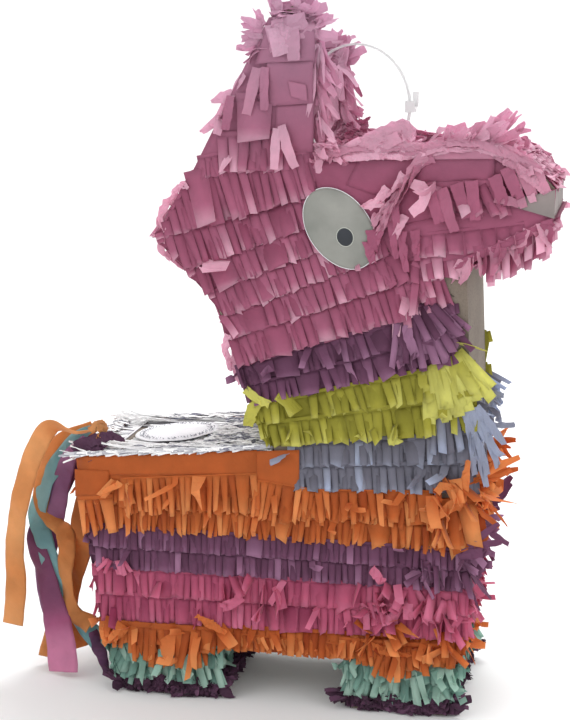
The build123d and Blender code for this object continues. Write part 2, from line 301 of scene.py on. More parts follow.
# dark, light and glow, and what sets it apart from the other tissue: dark is painted shade, glow a painted
# highlight of backlight, pale a painted haze
TISSUES = {
    "tissue_pink": ((164, 76, 110), (204, 120, 153), (255, 208, 228), {"pale": 0.4}),
    "tissue_rose": ((172, 64, 104), (222, 112, 148), (238, 142, 176), {}),
    "tissue_purple": ((92, 48, 76), (140, 88, 122), (192, 140, 176), {}),
    "tissue_lime": ((142, 136, 34), (200, 194, 76), (242, 240, 136), {}),
    "tissue_grey": ((106, 102, 114), (150, 150, 166), (204, 214, 238), {}),
    "tissue_orange": ((178, 72, 22), (226, 124, 58), (254, 174, 104), {}),
    "tissue_teal": ((90, 128, 118), (146, 190, 176), (196, 228, 214), {}),
    "tissue_plum": ((58, 34, 54), (104, 66, 94), (150, 104, 138), {}),
    # the silver's grey dark is painted shade, for the gaps between its white strips
    "tissue_silver": ((128, 128, 146), (255, 255, 255), (255, 255, 255), {"through": 0.05, "mottle": 0.1}),
    "streamer_orange": ((176, 100, 46), (222, 150, 86), (240, 184, 124), {}),
    # the pink streamer's purplish dark is painted shadow, on its upper part
    "streamer_pink": ((112, 66, 100), (190, 108, 150), (238, 164, 200), {}),
    "streamer_teal": ((90, 140, 146), (136, 184, 188), (180, 218, 220), {}),
    "streamer_purple": ((100, 62, 96), (150, 98, 138), (196, 140, 180), {}),
}
# dark and light
PAPERS = {
    "grey_paper": ((122, 124, 118), (148, 148, 142)),
    "label_paper": ((226, 226, 230), (246, 246, 248)),
    "dark_paper": ((18, 21, 26), (38, 43, 52), 0.45),
    # white mouth paper given a darker, pinkish grey: painted shade
    "mouth_paper": ((124, 116, 114), (150, 138, 136)),
    "pale_paper": ((176, 180, 172), (196, 200, 190)),
    "dot_ink": ((96, 100, 112), (130, 134, 146)),
}
MATERIALS = {"cardboard": cardboard_material(), "nylon": nylon_material(), "hot_glue": glue_material()}
for name, (*shades, apart) in TISSUES.items():
    MATERIALS[name] = tissue_material(name, *shades, **apart)
for name, paper in PAPERS.items():
    MATERIALS[name] = paper_material(name, *paper)


# ---------------------------------------------------------------- thin sheets

def unit(v):
    return v / np.maximum(np.linalg.norm(v, axis=-1, keepdims=True), 1e-12)


# for each axis, how far out tissue may stand freely, and how little further it can then reach
FREE_REACH = ((0.182, 12 * MM), (0.058, 7.4 * MM), (0.440, 16 * MM))
LOW, LOWEST = 2.2 * MM, 0.4 * MM     # below LOW, tissue is lifted, so that none is under LOWEST


def held_in(points):
    """Tissue that would stand too far out, or reach into the floor, is pressed back without folding flat."""
    for axis, (start, room) in enumerate(FREE_REACH):
        beyond = np.maximum(np.abs(points[:, axis]) - start, 0)
        pressed = start + room * np.tanh(beyond / room)
        points[:, axis] = np.where(beyond > 0, np.sign(points[:, axis]) * pressed, points[:, axis])
    risen = LOWEST + (LOW - LOWEST) * np.exp(np.minimum(points[:, 2] - LOW, 0) / LOW)
    points[:, 2] = np.where(points[:, 2] < LOW, risen, points[:, 2])
    return points


class Sheets:
    """Thin closed sheets gathered into one mesh, with a tone for each."""

    def __init__(self, seed, pressed=()):
        self.rng = np.random.default_rng(seed)
        self.pressed = pressed       # glued-on papers that hold the tissue down
        self.points, self.faces, self.tones, self.smooth, self.count = [], [], [], [], 0

    def add(self, grid, tone, smooth=True):
        """grid is (sheets, rows, columns, 3). Each is made a closed sheet; tone may change down its rows."""
        for hold in self.pressed:
            grid = hold(grid)
        n, rows, columns, _ = grid.shape
        along = np.gradient(grid, axis=1)
        across = np.gradient(grid, axis=2)
        normal = unit(np.cross(across, along))
        both = np.stack([grid + normal * TISSUE / 2, grid - normal * TISSUE / 2], axis=1)
        per_side = rows * columns
        index = np.arange(per_side).reshape(rows, columns)
        a, b = index[:-1, :-1].ravel(), index[:-1, 1:].ravel()
        c, d = index[1:, 1:].ravel(), index[1:, :-1].ravel()
        quads = [np.stack([a, d, c, b], 1), np.stack([a, b, c, d], 1) + per_side]
        rim = np.concatenate([index[0, :], index[1:, -1], index[-1, -2::-1], index[-2:0:-1, 0]])
        following = np.roll(rim, -1)
        quads.append(np.stack([rim, following, following + per_side, rim + per_side], 1))
        one = np.concatenate(quads)
        start = self.count + np.arange(n)[:, None, None] * 2 * per_side
        self.faces.append((one[None] + start).reshape(-1, 4))
        self.points.append(both.reshape(-1, 3))
        self.smooth.append(np.full(n * len(one), smooth))
        tone = np.asarray(tone, float)
        tone = tone[:, None, :, None] if tone.ndim == 2 else tone.reshape(-1, 1, 1, 1)
        self.tones.append(np.broadcast_to(tone, (n, 2, rows, columns)).ravel())
        self.count += n * 2 * per_side

    def build(self, name, material):
        points, faces = held_in(np.concatenate(self.points)), np.concatenate(self.faces)
        mesh = bpy.data.meshes.new(name)
        mesh.vertices.add(len(points))
        mesh.vertices.foreach_set("co", points.astype(np.float32).ravel())
        mesh.loops.add(faces.size)
        mesh.loops.foreach_set("vertex_index", faces.astype(np.int32).ravel())
        mesh.polygons.add(len(faces))
        mesh.polygons.foreach_set("loop_start", np.arange(0, faces.size, 4, dtype=np.int32))
        mesh.update(calc_edges=True)
        mesh.polygons.foreach_set("use_smooth", np.concatenate(self.smooth))
        tone = mesh.attributes.new("tone", "FLOAT", "POINT")
        tone.data.foreach_set("value", np.concatenate(self.tones).astype(np.float32))
        mesh.materials.append(MATERIALS[material])
        mesh.validate()
        return in_scene(name, mesh)


# how the fingers of a row lie
NEAT = {"splay": 1.8, "pitch": 3.0, "curl": 4.5, "twist": 9, "mess": 0.04, "taper": 0.12}
LOOSE = {"splay": 4, "pitch": 5, "curl": 9, "twist": 15, "mess": 0.1, "taper": 0.2}
CLOSE = {"splay": 1.2, "pitch": 3, "curl": 3, "twist": 5, "mess": 0.0, "taper": 0.1}
POINTED = {"splay": 2.6, "pitch": 5, "curl": 5, "twist": 12, "mess": 0.08, "taper": 0.42, "uneven": 0.06}
RAGGED = {"splay": 7, "pitch": 9, "curl": 12, "twist": 22, "mess": 0.2, "taper": 0.25}


def fingers(sheets, root, across, down, out, length, width, splay=3.0, mess=0.08, pitch=5.0, curl=8.0,
            twist=12.0, lean=0.0, tone=(0.45, 0.12), cling=True, taper=0.0, uneven=0.02):
    """Cut fingers that hang from their roots. Angles are in degrees; mess is the share that is crumpled."""
    rng, n = sheets.rng, len(root)
    if n == 0:
        return
    wild = rng.random(n) < mess
    yaw = (rng.normal(0, splay, n) + np.where(wild, rng.normal(0, 20, n), 0) + lean) * DEGREE
    rise = (np.abs(rng.normal(pitch, pitch * 0.6, n)) + np.where(wild, rng.uniform(6, 45, n), 0)) * DEGREE
    bend = (rng.normal(curl * 0.3, curl, n) + np.where(wild, rng.normal(0, 14, n), 0)) * DEGREE
    sway = (rng.normal(0, splay, n) + np.where(wild, rng.normal(0, 9, n), 0)) * DEGREE
    turned = (rng.normal(0, twist, n) + np.where(wild, rng.normal(0, 45, n), 0)) * DEGREE
    fold_at = rng.integers(2, SEGMENTS, n)
    fold = np.where(wild & (rng.random(n) < 0.5), rng.normal(0, 55, n), 0) * DEGREE
    flick = np.where(wild & (rng.random(n) < 0.6), rng.normal(-10, 50, n), 0) * DEGREE
    length = np.broadcast_to(length, (n,)) * np.where(wild, rng.normal(1.05, 0.1, n),
                                                      rng.normal(1.0, uneven, n))
    width = np.broadcast_to(width, (n,))
    cup = rng.normal(0, 0.05, n) * width
    centre, base = np.array(root, float), np.array(root, float)
    grid = np.zeros((n, SEGMENTS + 1, 3, 3))
    for step in range(SEGMENTS + 1):
        part = step / SEGMENTS
        turn = yaw + sway * part + np.where(step >= fold_at, fold, 0)
        lift = rise + bend * part + np.where(step >= fold_at, flick, 0)
        heading = (np.cos(turn) * np.cos(lift))[:, None] * down + (np.sin(turn) * np.cos(lift))[:, None] * across
        heading = heading + np.sin(lift)[:, None] * out
        side = unit(np.cos(turn)[:, None] * across - np.sin(turn)[:, None] * down)
        facing = unit(np.cross(side, heading))
        facing *= np.sign((facing * out).sum(-1) + 1e-9)[:, None]
        roll = turned * part
        side = np.cos(roll)[:, None] * side + np.sin(roll)[:, None] * facing
        facing = unit(np.cross(heading, side))
        if step:
            centre = centre + heading * (length / SEGMENTS)[:, None]
        height = ((centre - base) * out).sum(-1)
        if cling:
            centre = centre + out * np.maximum(0.1 * MM - height, 0)[:, None]
        for column, place in enumerate((-1, 0, 1)):
            bow = (cup * (1 - abs(place)) * min(1, 0.3 + part))[:, None] * facing
            half = width * (1 - taper * part) / 2
            grid[:, step, column] = centre + side * (place * half)[:, None] + bow
    # slanted tips
    slant = rng.normal(0, 0.12, n) * width
    last = unit(grid[:, -1] - grid[:, -2])
    for column, place in enumerate((-1, 0, 1)):
        grid[:, -1, column] += last[:, column] * (slant * place)[:, None]
    part = np.linspace(0, 1, SEGMENTS + 1)
    # painted highlight: crumpled fingers and one in eight at random are lighter, as lifted tissue catching the
    # light
    bright = np.where(rng.random(n) < 0.12, 0.25, 0) + np.where(wild, 0.25, 0)
    # the spread between fingers is partly the tissue's own tone and partly painted shade; the tone rises to a
    # painted glow of backlight at the tip and falls to painted shade at the root
    shade = (rng.normal(tone[0], tone[1], n) + bright)[:, None] + 0.34 * part ** 3 - 0.14 * (1 - part) ** 2
    shade = np.clip(shade, 0, 1)
    sheets.add(grid[~wild], shade[~wild])
    sheets.add(grid[wild], shade[wild], smooth=False)


def on_face(face, at, fall, height):
    """Points on a face, from distances across it, down it and above the cardboard."""
    at, fall, height = np.broadcast_arrays(at, fall, height)
    return (at[..., None] * face["across"] + fall[..., None] * face["down"]
            + (face["card"] + height)[..., None] * face["out"])


def flat_sheet(sheets, face, at, top, bottom, height, wrinkle, tone, rows=5):
    """A smooth sheet over part of a face, a little wrinkled."""
    rng = sheets.rng
    part = np.linspace(0, 1, rows)[:, None]
    fall = top * (1 - part) + bottom * part
    phase = rng.uniform(0, 6.28, 4)
    wave = np.sin(at * 150 + phase[0] + fall * 90) + np.sin(at * 420 + phase[1] - fall * 260 + phase[2])
    lumps = wrinkle * (0.7 + 0.5 * wave + rng.normal(0, 0.25, fall.shape))
    sheets.add(on_face(face, np.broadcast_to(at, fall.shape), fall, height + np.maximum(lumps, 0))[None],
               tone)


def cut_row(sheets, face, first, last, edges, width=FINGER, header=0.14, height=0.9, overhang=0.4, skip=None,
            join=0.14, tone=(0.45, 0.1), **style):
    """One row of fringe: a glued header, and two layers of cut fingers. edges(at) gives its top and its hem.

    Now and then two or three fingers are left uncut, as one wide one: join is how often. width, height above
    the cardboard and overhang past the hem are in millimetres; header is a share of the row.
    """
    rng = sheets.rng
    width, height, overhang = width * MM, height * MM, overhang * MM
    axes = face["across"], face["down"], face["out"]
    cuts = [first]
    while cuts[-1] < last - 0.4 * width:
        uncut = rng.choice([1, 2, 3], p=[1 - join, join * 0.75, join * 0.25])
        cuts.append(cuts[-1] + width * uncut * rng.uniform(0.85, 1.15))
    cuts = np.array(cuts)
    cuts = first + (cuts - first) * (last - first) / (cuts[-1] - first)
    middle, breadth = (cuts[1:] + cuts[:-1]) / 2, np.diff(cuts)
    top, hem = edges(middle)
    good = np.isfinite(top) & np.isfinite(hem) & (hem - top + overhang > 2.5 * MM)
    if skip is not None:
        good &= ~skip(on_face(face, middle, (top + hem) / 2, 0))
    if not good.any():
        return
    start = top + (hem - top) * header
    # the header, in unbroken runs
    runs = np.split(np.arange(len(good)), np.flatnonzero(np.diff(good.astype(int))) + 1)
    for run in runs:
        if good[run[0]]:
            at = cuts[run[0]:run[-1] + 2]
            spots = np.clip(at, middle[run[0]], middle[run[-1]])
            upper, lower = edges(spots)
            if np.isfinite(upper).all() and np.isfinite(lower).all():
                flat_sheet(sheets, face, at, upper, upper + (lower - upper) * (header + 0.06),
                           height - 0.2 * MM, 0.12 * MM, tone[0] - 0.04)
                # the sheet beneath, seen only between the fingers, is 0.3 lower in tone: painted shade
                flat_sheet(sheets, face, at, upper, lower + overhang * 0.4, 0.25 * MM, 0.1 * MM,
                           tone[0] - 0.3)
    middle, breadth, start, hem = middle[good], breadth[good], start[good], hem[good]
    # the lower layer of fingers is 0.2 lower in tone: painted shade under the upper layer
    fingers(sheets, on_face(face, middle + width * 0.45, start, 0.45 * MM), *axes,
            hem - start + overhang * 0.75,
            breadth * 0.95, tone=(tone[0] - 0.2, tone[1] * 0.6), **{**style, "mess": style["mess"] * 0.4})
    fingers(sheets, on_face(face, middle, start, height), *axes, hem - start + overhang, breadth * 0.95,
            tone=tone,
            **style)


# ---------------------------------------------------------------- rows read from the CAD bands

def connected(triangles, count):
    """A label for each point, the same within each solid."""
    label = np.arange(count)
    while True:
        new = label.copy()
        np.minimum.at(new, triangles.ravel(), np.repeat(label[triangles].min(1), 3))
        new = new[new]
        if (new == label).all():
            return label
        label = new


def outer_faces(node, centre, hint=DOWN):
    """The broad outward faces of each solid of a CAD band, each with its own across, down and out.

    centre tells outward from inward; None stands for each solid's own centre.
    """
    mesh = frame["nodes"][node].data
    mesh.calc_loop_triangles()
    points = np.array([v.co for v in mesh.vertices], float)
    points, same = np.unique(np.round(points, 6), axis=0, return_inverse=True)
    triangles = same.ravel()[np.array([t.vertices[:] for t in mesh.loop_triangles])]
    label = connected(triangles, len(points))
    faces = []
    for solid in np.unique(label[triangles[:, 0]]):
        own = triangles[label[triangles[:, 0]] == solid]
        corners = points[own]
        crossed = np.cross(corners[:, 1] - corners[:, 0], corners[:, 2] - corners[:, 0])
        area, normals = np.linalg.norm(crossed, axis=1) / 2, unit(crossed)
        middle = (corners.reshape(-1, 3).min(0) + corners.reshape(-1, 3).max(0)) / 2 if centre is None else centre
        used = np.zeros(len(corners), bool)
        for first in range(len(corners)):
            if used[first]:
                continue
            out = normals[first]
            alike = (normals @ out > 0.999) & (np.abs((corners[:, 0] - corners[first, 0]) @ out) < 0.2 * MM)
            used |= alike
            if (corners[first].mean(0) - middle) @ out <= 0:
                continue
            edges = np.sort(np.concatenate([own[alike][:, pair] for pair in ([0, 1], [1, 2], [2, 0])]),
                            axis=1)
            ends, uses = np.unique(edges, axis=0, return_counts=True)
            runs = points[ends[uses == 1, 1]] - points[ends[uses == 1, 0]]
            lengths = np.linalg.norm(runs, axis=1)
            if 2 * area[alike].sum() / lengths.sum() < BROAD:
                continue
            level = unit(np.cross(out, unit(hint - (hint @ out) * out)))
            leaning = np.abs(unit(runs) @ level) > 0.8
            if not leaning.any():
                continue
            across = unit(runs[(lengths * leaning).argmax()])
            guide = FORWARD if abs(across[0]) > 0.3 else LEFT
            across = across * np.sign(across @ guide)
            down = unit(np.cross(out, across))
            down = down * np.sign(down @ hint)
            face = corners[alike]
            flat = np.stack([face @ across, face @ down], -1)
            faces.append({"across": across, "down": down, "out": out, "flat": flat,
                          "card": face[0, 0] @ out - ROW_DEPTH,
                          "low": points[own].min((0, 1)), "high": points[own].max((0, 1))})
    return faces


def reach(face, at):
    """Where a face begins and ends, going down, at each distance across it."""
    low, high = np.full(len(at), np.inf), np.full(len(at), -np.inf)
    for i, j in ((0, 1), (1, 2), (2, 0)):
        p, q = face["flat"][:, i], face["flat"][:, j]
        run = q[:, 0] - p[:, 0]
        run = np.where(np.abs(run) < 1e-9, np.nan, run)
        part = (at[:, None] - p[None, :, 0]) / run
        value = p[None, :, 1] + part * (q - p)[None, :, 1]
        inside = (part >= 0) & (part <= 1)
        low = np.minimum(low, np.where(inside, value, np.inf).min(1))
        high = np.maximum(high, np.where(inside, value, -np.inf).max(1))
    return low, high


def fringe_face(sheets, face, rows=1, edge_out=1.5, **style):
    """Cover one face with rows of fringe, from the top down; edge_out is how many mm they go past its ends."""
    first, last = face["flat"][..., 0].min(), face["flat"][..., 0].max()
    inset, tuck = 0.1 * MM, 2 * MM
    for row in range(rows):
        def edges(at, row=row):
            low, high = reach(face, np.clip(at, first + inset, last - inset))
            return low + (high - low) * row / rows - tuck, low + (high - low) * (row + 1) / rows
        cut_row(sheets, face, first - edge_out * MM, last + edge_out * MM, edges, **style)


def slot_of(node):
    """The record's material slot of a CAD node."""
    return next(s["material_slot"] for s in frame["record"]["subparts"] if s["node"] == node)


def stand_for(piece, body, node):
    """The piece rides on the body, and is shown in place of the CAD node."""
    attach(piece, body)
    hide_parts(node)


def band(node, seed, centre=BODY_CENTRE, hint=DOWN, body="shell", plain=None, extra=None, **style):
    """Replace one CAD band of fringe with cut tissue; a face that plain(face) picks gets a smooth sheet."""
    sheets = Sheets(seed)
    for face in outer_faces(node, centre, hint):
        if plain and plain(face):
            at = np.linspace(face["flat"][..., 0].min() - MM, face["flat"][..., 0].max() + MM, 40)
            inside = np.clip(at, at[0] + 1.1 * MM, at[-1] - 1.1 * MM)
            low, high = reach(face, inside)
            flat_sheet(sheets, face, at, low - 0.5 * MM, high + 4 * MM, 1.3 * MM, 0.35 * MM, 0.42, 7)
        else:
            fringe_face(sheets, face, **style)
    if extra:
        extra(sheets)
    stand_for(sheets.build(node.replace("_fringe", "_tissue"), slot_of(node)), body, node)


# ---------------------------------------------------------------- rows and scraps laid one by one, in millimetres

def side_face(side, start, end):
    """A face on a side panel (-1 is the right, 1 the left), with a row's top line from start to end."""
    start, end = np.array([start[0], 0, start[1]]) * MM, np.array([end[0], 0, end[1]]) * MM
    across = unit(end - start)
    down = np.array([across[2], 0, -across[0]])
    return {"across": across, "down": down, "out": np.array([0.0, side, 0.0]), "card": PANEL * MM,
            "first": start @ across, "last": end @ across, "top": start @ down}


def laid_row(sheets, side, start, end, length, **style):
    """A row of fringe on a side panel, hung from the line start to end, each (x, z)."""
    face = side_face(side, start, end)

    def edges(at):
        return np.full(len(at), face["top"]), np.full(len(at), face["top"] + length * MM)
    cut_row(sheets, face, face["first"], face["last"], edges, **style)


def patch(sheets, side, corners, height, wrinkle=0.3, tone=0.4):
    """A smooth sheet between four corners on a side panel, each (x, z): two along the top, two below."""
    a, b, c, d = (np.array([x, 0, z]) for x, z in corners)
    s = np.linspace(0, 1, 12)[None, :, None]
    t = np.linspace(0, 1, 9)[:, None, None]
    grid = (a * (1 - s) + b * s) * (1 - t) + (c * (1 - s) + d * s) * t
    grid = grid + np.array([0, side, 0]) * (PANEL + height + creased(sheets.rng, grid, 30,
                                                                     wrinkle))[..., None]
    sheets.add(grid[None] * MM, tone)


def creased(rng, grid, size, amount):
    """Sharp folds of about that size: heights from 0 to about amount."""
    total = np.zeros(grid.shape[:-1])
    for octave in range(4):
        direction = unit(rng.normal(0, 1, 3))
        wave = (grid @ direction) / size * (1.6 ** octave) + rng.uniform(0, 1)
        total += np.abs((wave % 1) - 0.5) * 2 / (1.5 ** octave)
    return total / 2.4 * amount


def crumple(sheets, centre, u, v, fold=9, depth=5, tone=0.7, cells=14, bow=0.0):
    """A crumpled scrap of tissue about centre, spanned by u and v."""
    rng = sheets.rng
    centre, u, v = (np.array(p, float) for p in (centre, u, v))
    out = unit(np.cross(u, v))
    s = np.linspace(-0.5, 0.5, cells)[None, :, None]
    t = np.linspace(-0.5, 0.5, cells)[:, None, None]
    flat = u * s + v * t
    grid = centre + flat + out * (creased(rng, flat, fold, depth) - depth / 2)[..., None]
    grid = grid + out * (bow * (0.25 - (s ** 2 + t ** 2)))
    for direction in (u, v):
        grid = grid + unit(direction) * (creased(rng, flat, fold * 1.6,
                                                 depth * 0.5) - depth * 0.25)[..., None]
    sheets.add(grid[None] * MM, tone, smooth=False)


def smooth_path(points, count):
    """A Catmull-Rom curve through points."""
    points = np.array(points, float)
    full = np.concatenate([2 * points[:1] - points[1:2], points, 2 * points[-1:] - points[-2:-1]])
    t = np.linspace(0, len(points) - 1 - 1e-9, count)
    k = t.astype(int)
    f = (t - k)[:, None]
    p0, p1, p2, p3 = full[k], full[k + 1], full[k + 2], full[k + 3]
    square, cube = 2 * p0 - 5 * p1 + 4 * p2 - p3, 3 * p1 - p0 - 3 * p2 + p3
    return 0.5 * (2 * p1 + (p2 - p0) * f + square * f ** 2 + cube * f ** 3)


def kinked_path(points, count):
    """Straight runs between points."""
    points = np.array(points, float)
    along = np.concatenate([[0], np.cumsum(np.linalg.norm(np.diff(points, axis=0), axis=1))])
    at = np.linspace(0, along[-1], count)
    return np.stack([np.interp(at, along, points[:, k]) for k in range(3)], -1)


def spread_over(values, count):
    """A few values, spread evenly over count places."""
    return np.interp(np.linspace(0, 1, count), np.linspace(0, 1, len(values)), values)


def ribbon_grid(points, width, count, columns, curve=smooth_path, facing=(0, -1, 0), twist=(0, 0), cup=0.0,
                taper=(1, 1)):
    """A ribbon along a curve; twist is its turn in degrees and taper its share of the width, spread along it."""
    line = curve(points, count)
    heading = unit(np.gradient(line, axis=0))
    side = unit(np.cross(heading, np.array(facing, float)))
    front = unit(np.cross(side, heading))
    turn = spread_over(twist, count)[:, None] * DEGREE
    side, front = side * np.cos(turn) + front * np.sin(turn), front * np.cos(turn) - side * np.sin(turn)
    breadth = spread_over(taper, count)[:, None, None] * width
    place = np.linspace(-0.5, 0.5, columns)[None, :, None]
    return line[:, None] + side[:, None] * place * breadth + front[:, None] * cup * (0.25 - place ** 2) * 4


def strand(sheets, points, width, tone, wrinkle=0.35, smooth=False, count=9, columns=4, **shape):
    """One strip of tissue laid along a line, creased where it turns."""
    grid = ribbon_grid(points, width, count, columns, kinked_path, **shape)
    grid = grid + sheets.rng.normal(0, wrinkle, grid.shape)
    sheets.add(grid[None] * MM, tone, smooth=smooth)


def raised(side, line, heights):
    """A line of (x, z) on a side panel, with its distances from the middle plane."""
    return [(x, side * y, z) for (x, z), y in zip(line, heights)]


def bowed_strand(sheets, side, start, run, heights, width, tone, bend=0.5, **shape):
    """A strip on a side panel from start, as far as run, both (x, z): it bows out through three heights."""
    (x, z), (dx, dz) = start, run
    line = raised(side, [(x, z), (x + dx * bend, z + dz / 2), (x + dx, z + dz)], heights)
    strand(sheets, line, width, tone, **shape)


def tuft(sheets, root, toward, count, length, width, spread, tone, jitter=2.0):
    """Loose fingers that spring from about one point."""
    rng = sheets.rng
    headings = unit(unit(np.array(toward, float)) + rng.normal(0, math.tan(spread * DEGREE) * 0.6,
                                                               (count, 3)))
    side = unit(np.cross(headings, rng.normal(0, 1, (count, 3))))
    roots = (np.array(root, float) + rng.normal(0, jitter, (count, 3))) * MM
    fingers(sheets, roots, side, headings, np.cross(side, headings),
            rng.uniform(0.7, 1.15, count) * length * MM,
            width * MM * rng.uniform(0.8, 1.2, count), splay=4, mess=0.3, pitch=4, curl=9, twist=22,
            tone=tone,
            cling=False)


def spike(sheets, root, toward, length, width, spread, tone):
    """One strip that stands out from its root, folded once and narrowed to its end."""
    rng = sheets.rng
    heading = unit(unit(np.array(toward, float)) + rng.normal(0, math.tan(spread * DEGREE), 3))
    root = np.array(root, float)
    bent = unit(heading + rng.normal(0, 0.3, 3))
    middle = root + heading * length * rng.uniform(0.4, 0.6)
    end = middle + bent * (length - np.linalg.norm(middle - root))
    facing = unit(np.cross(heading, rng.normal(0, 1, 3)) + np.array([0, np.sign(root[1]) * 1.2, 0]))
    strand(sheets, [root, middle, end], width * rng.uniform(0.7, 1.2), tone, 0.2, facing=facing, count=7,
           twist=(0, rng.uniform(-70, 70)), taper=(0.7, 1, rng.uniform(0.3, 0.9)), cup=rng.uniform(-0.6, 0.8))


def scatter(sheets, low, high, toward, count, length, width, spread, tone=(0.65, 0.15)):
    """Loose single fingers whose roots are spread through a box."""
    for root in sheets.rng.uniform(*np.sort([low, high], axis=0), (count, 3)):
        tuft(sheets, root, toward, 1, length, width, spread, tone, 0)


def fan(sheets, side, start, end, lean, length, count, depth, width, tone, **style):
    """Fingers rooted along a line on a side panel; their lean goes from the first to the last, in degrees."""
    rng = sheets.rng
    part = np.linspace(0, 1, count) + rng.normal(0, 0.3 / count, count)
    x, z = (start[k] + (end[k] - start[k]) * part for k in (0, 1))
    angle = (lean[0] + (lean[1] - lean[0]) * part)[:, None] * DEGREE
    heading = np.cos(angle) * DOWN + np.sin(angle) * FORWARD
    across = np.cos(angle) * FORWARD - np.sin(angle) * DOWN
    root = np.stack([x, np.full(count, side * (PANEL + depth)), z], -1) * MM
    fingers(sheets, root, across, heading, np.array([0.0, side, 0.0]),
            rng.uniform(0.8, 1.1, count) * length * MM,
            width * MM * rng.uniform(0.8, 1.2, count), tone=tone, cling=False, **style)


# ---------------------------------------------------------------- papers that lie over the tissue

EYE = {"centre": (48.5, 305), "size": (37, 54), "turn": 38}
PUPIL = {"centre": (52, 300), "size": (9.6, 11), "turn": 22}
MOUTH = [(143.5, 322.5), (175.5, 330.2), (175.5, 313.8)]
UNDER_PAPER = 51.9       # from the middle plane, how high tissue may lie under a paper


def in_eye(x, z):
    """True under the paper of the eye, and half a millimetre round it."""
    x, z = x - EYE["centre"][0], z - EYE["centre"][1]
    c, s = math.cos(EYE["turn"] * DEGREE), math.sin(EYE["turn"] * DEGREE)
    a, b = (x * c + z * s) / (EYE["size"][0] / 2 + 0.5), (-x * s + z * c) / (EYE["size"][1] / 2 + 0.5)
    return a * a + b * b < 1


def in_mouth(x, z):
    inside = True
    for (x0, z0), (x1, z1) in zip(MOUTH, MOUTH[1:] + MOUTH[:1]):
        inside = inside & ((x1 - x0) * (z - z0) - (z1 - z0) * (x - x0) < 0)
    return inside


def held_under(inside, side):
    """Presses the tissue of a side panel flat where inside(x, z) is true."""
    def hold(grid):
        held = inside(grid[..., 0] / MM, grid[..., 2] / MM) & (grid[..., 1] * side > 0)
        grid = grid.copy()
        grid[..., 1] = np.where(held, side * np.minimum(grid[..., 1] * side, UNDER_PAPER * MM), grid[..., 1])
        return grid
    return hold


def disc(name, material, node, centre, size, turn, out, height, thickness=0.4, warp=0.5, seed=1, body="shell",
         up=UP, across=FORWARD):
    """An oval of paper, a little warped, in millimetres; out is the side that it faces.

    Where node is None it is an edge that shows round another paper, and stands for nothing in the CAD.
    """
    rings, spokes = 14, 72
    radius = np.linspace(0.0, 1.0, rings)[:, None]
    angle = np.linspace(0, 2 * math.pi, spokes, endpoint=False)[None]
    a, b = radius * np.cos(angle) * size[0] / 2, radius * np.sin(angle) * size[1] / 2
    c, s = math.cos(turn * DEGREE), math.sin(turn * DEGREE)
    place = (a * c - b * s)[..., None] * across + (a * s + b * c)[..., None] * up + np.array(centre, float)
    lift = height + creased(np.random.default_rng(seed), place, 34, warp)
    top = place + out * (lift + thickness * np.clip((1 - radius) * 14, 0.4, 1))[..., None]
    under = place + out * lift[..., None]
    points = np.concatenate([top[0, :1], top[1:].reshape(-1, 3), under[0, :1], under[1:].reshape(-1, 3)])
    half = 1 + (rings - 1) * spokes
    rim = 1 + (rings - 2) * spokes
    around = [(k, (k + 1) % spokes) for k in range(spokes)]
    faces = []
    for layer, order in ((0, 1), (half, -1)):
        for k, following in around:
            faces.append([layer, layer + 1 + k, layer + 1 + following][::order])
            for base in range(layer + 1, layer + rim, spokes):
                faces.append([base + k, base + spokes + k, base + spokes + following,
                              base + following][::order])
    faces += [[rim + k, half + rim + k, half + rim + following, rim + following] for k, following in around]
    mesh = bpy.data.meshes.new(name)
    mesh.from_pydata([tuple(p * MM) for p in points], [], faces)
    mesh.polygons.foreach_set("use_smooth", [True] * len(faces))
    mesh.materials.append(MATERIALS[material])
    mesh.validate()
    piece = in_scene(name, mesh)
    if node:
        stand_for(piece, body, node)
    else:
        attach(piece, body)


# ================================================================ the donkey

make_camera()
make_floor()
make_light()
for node, thing in frame["nodes"].items():
    thing.data.materials.clear()
    thing.data.materials.append(MATERIALS[slot_of(node)])
frame["nodes"]["mouth_paper"].data.materials[0] = MATERIALS["mouth_paper"]


# ---------------------------------------------------------------- head and ears

def muzzle_area(points):
    """True where the side of the muzzle is covered by pieces given one by one, or the neck's front edge is left
    bare.
    """
    x, z = points[..., 0] / MM, points[..., 2] / MM
    seam = np.where(z > 304, 71 + (z - 304) * 0.62, 71 + (304 - z) * 0.9)
    bare = (x > 107 + (z - 255) * 0.3) & (z < 278)
    return ((x > seam) & (z > 283)) | ((x > 33) & (z > 319)) | bare


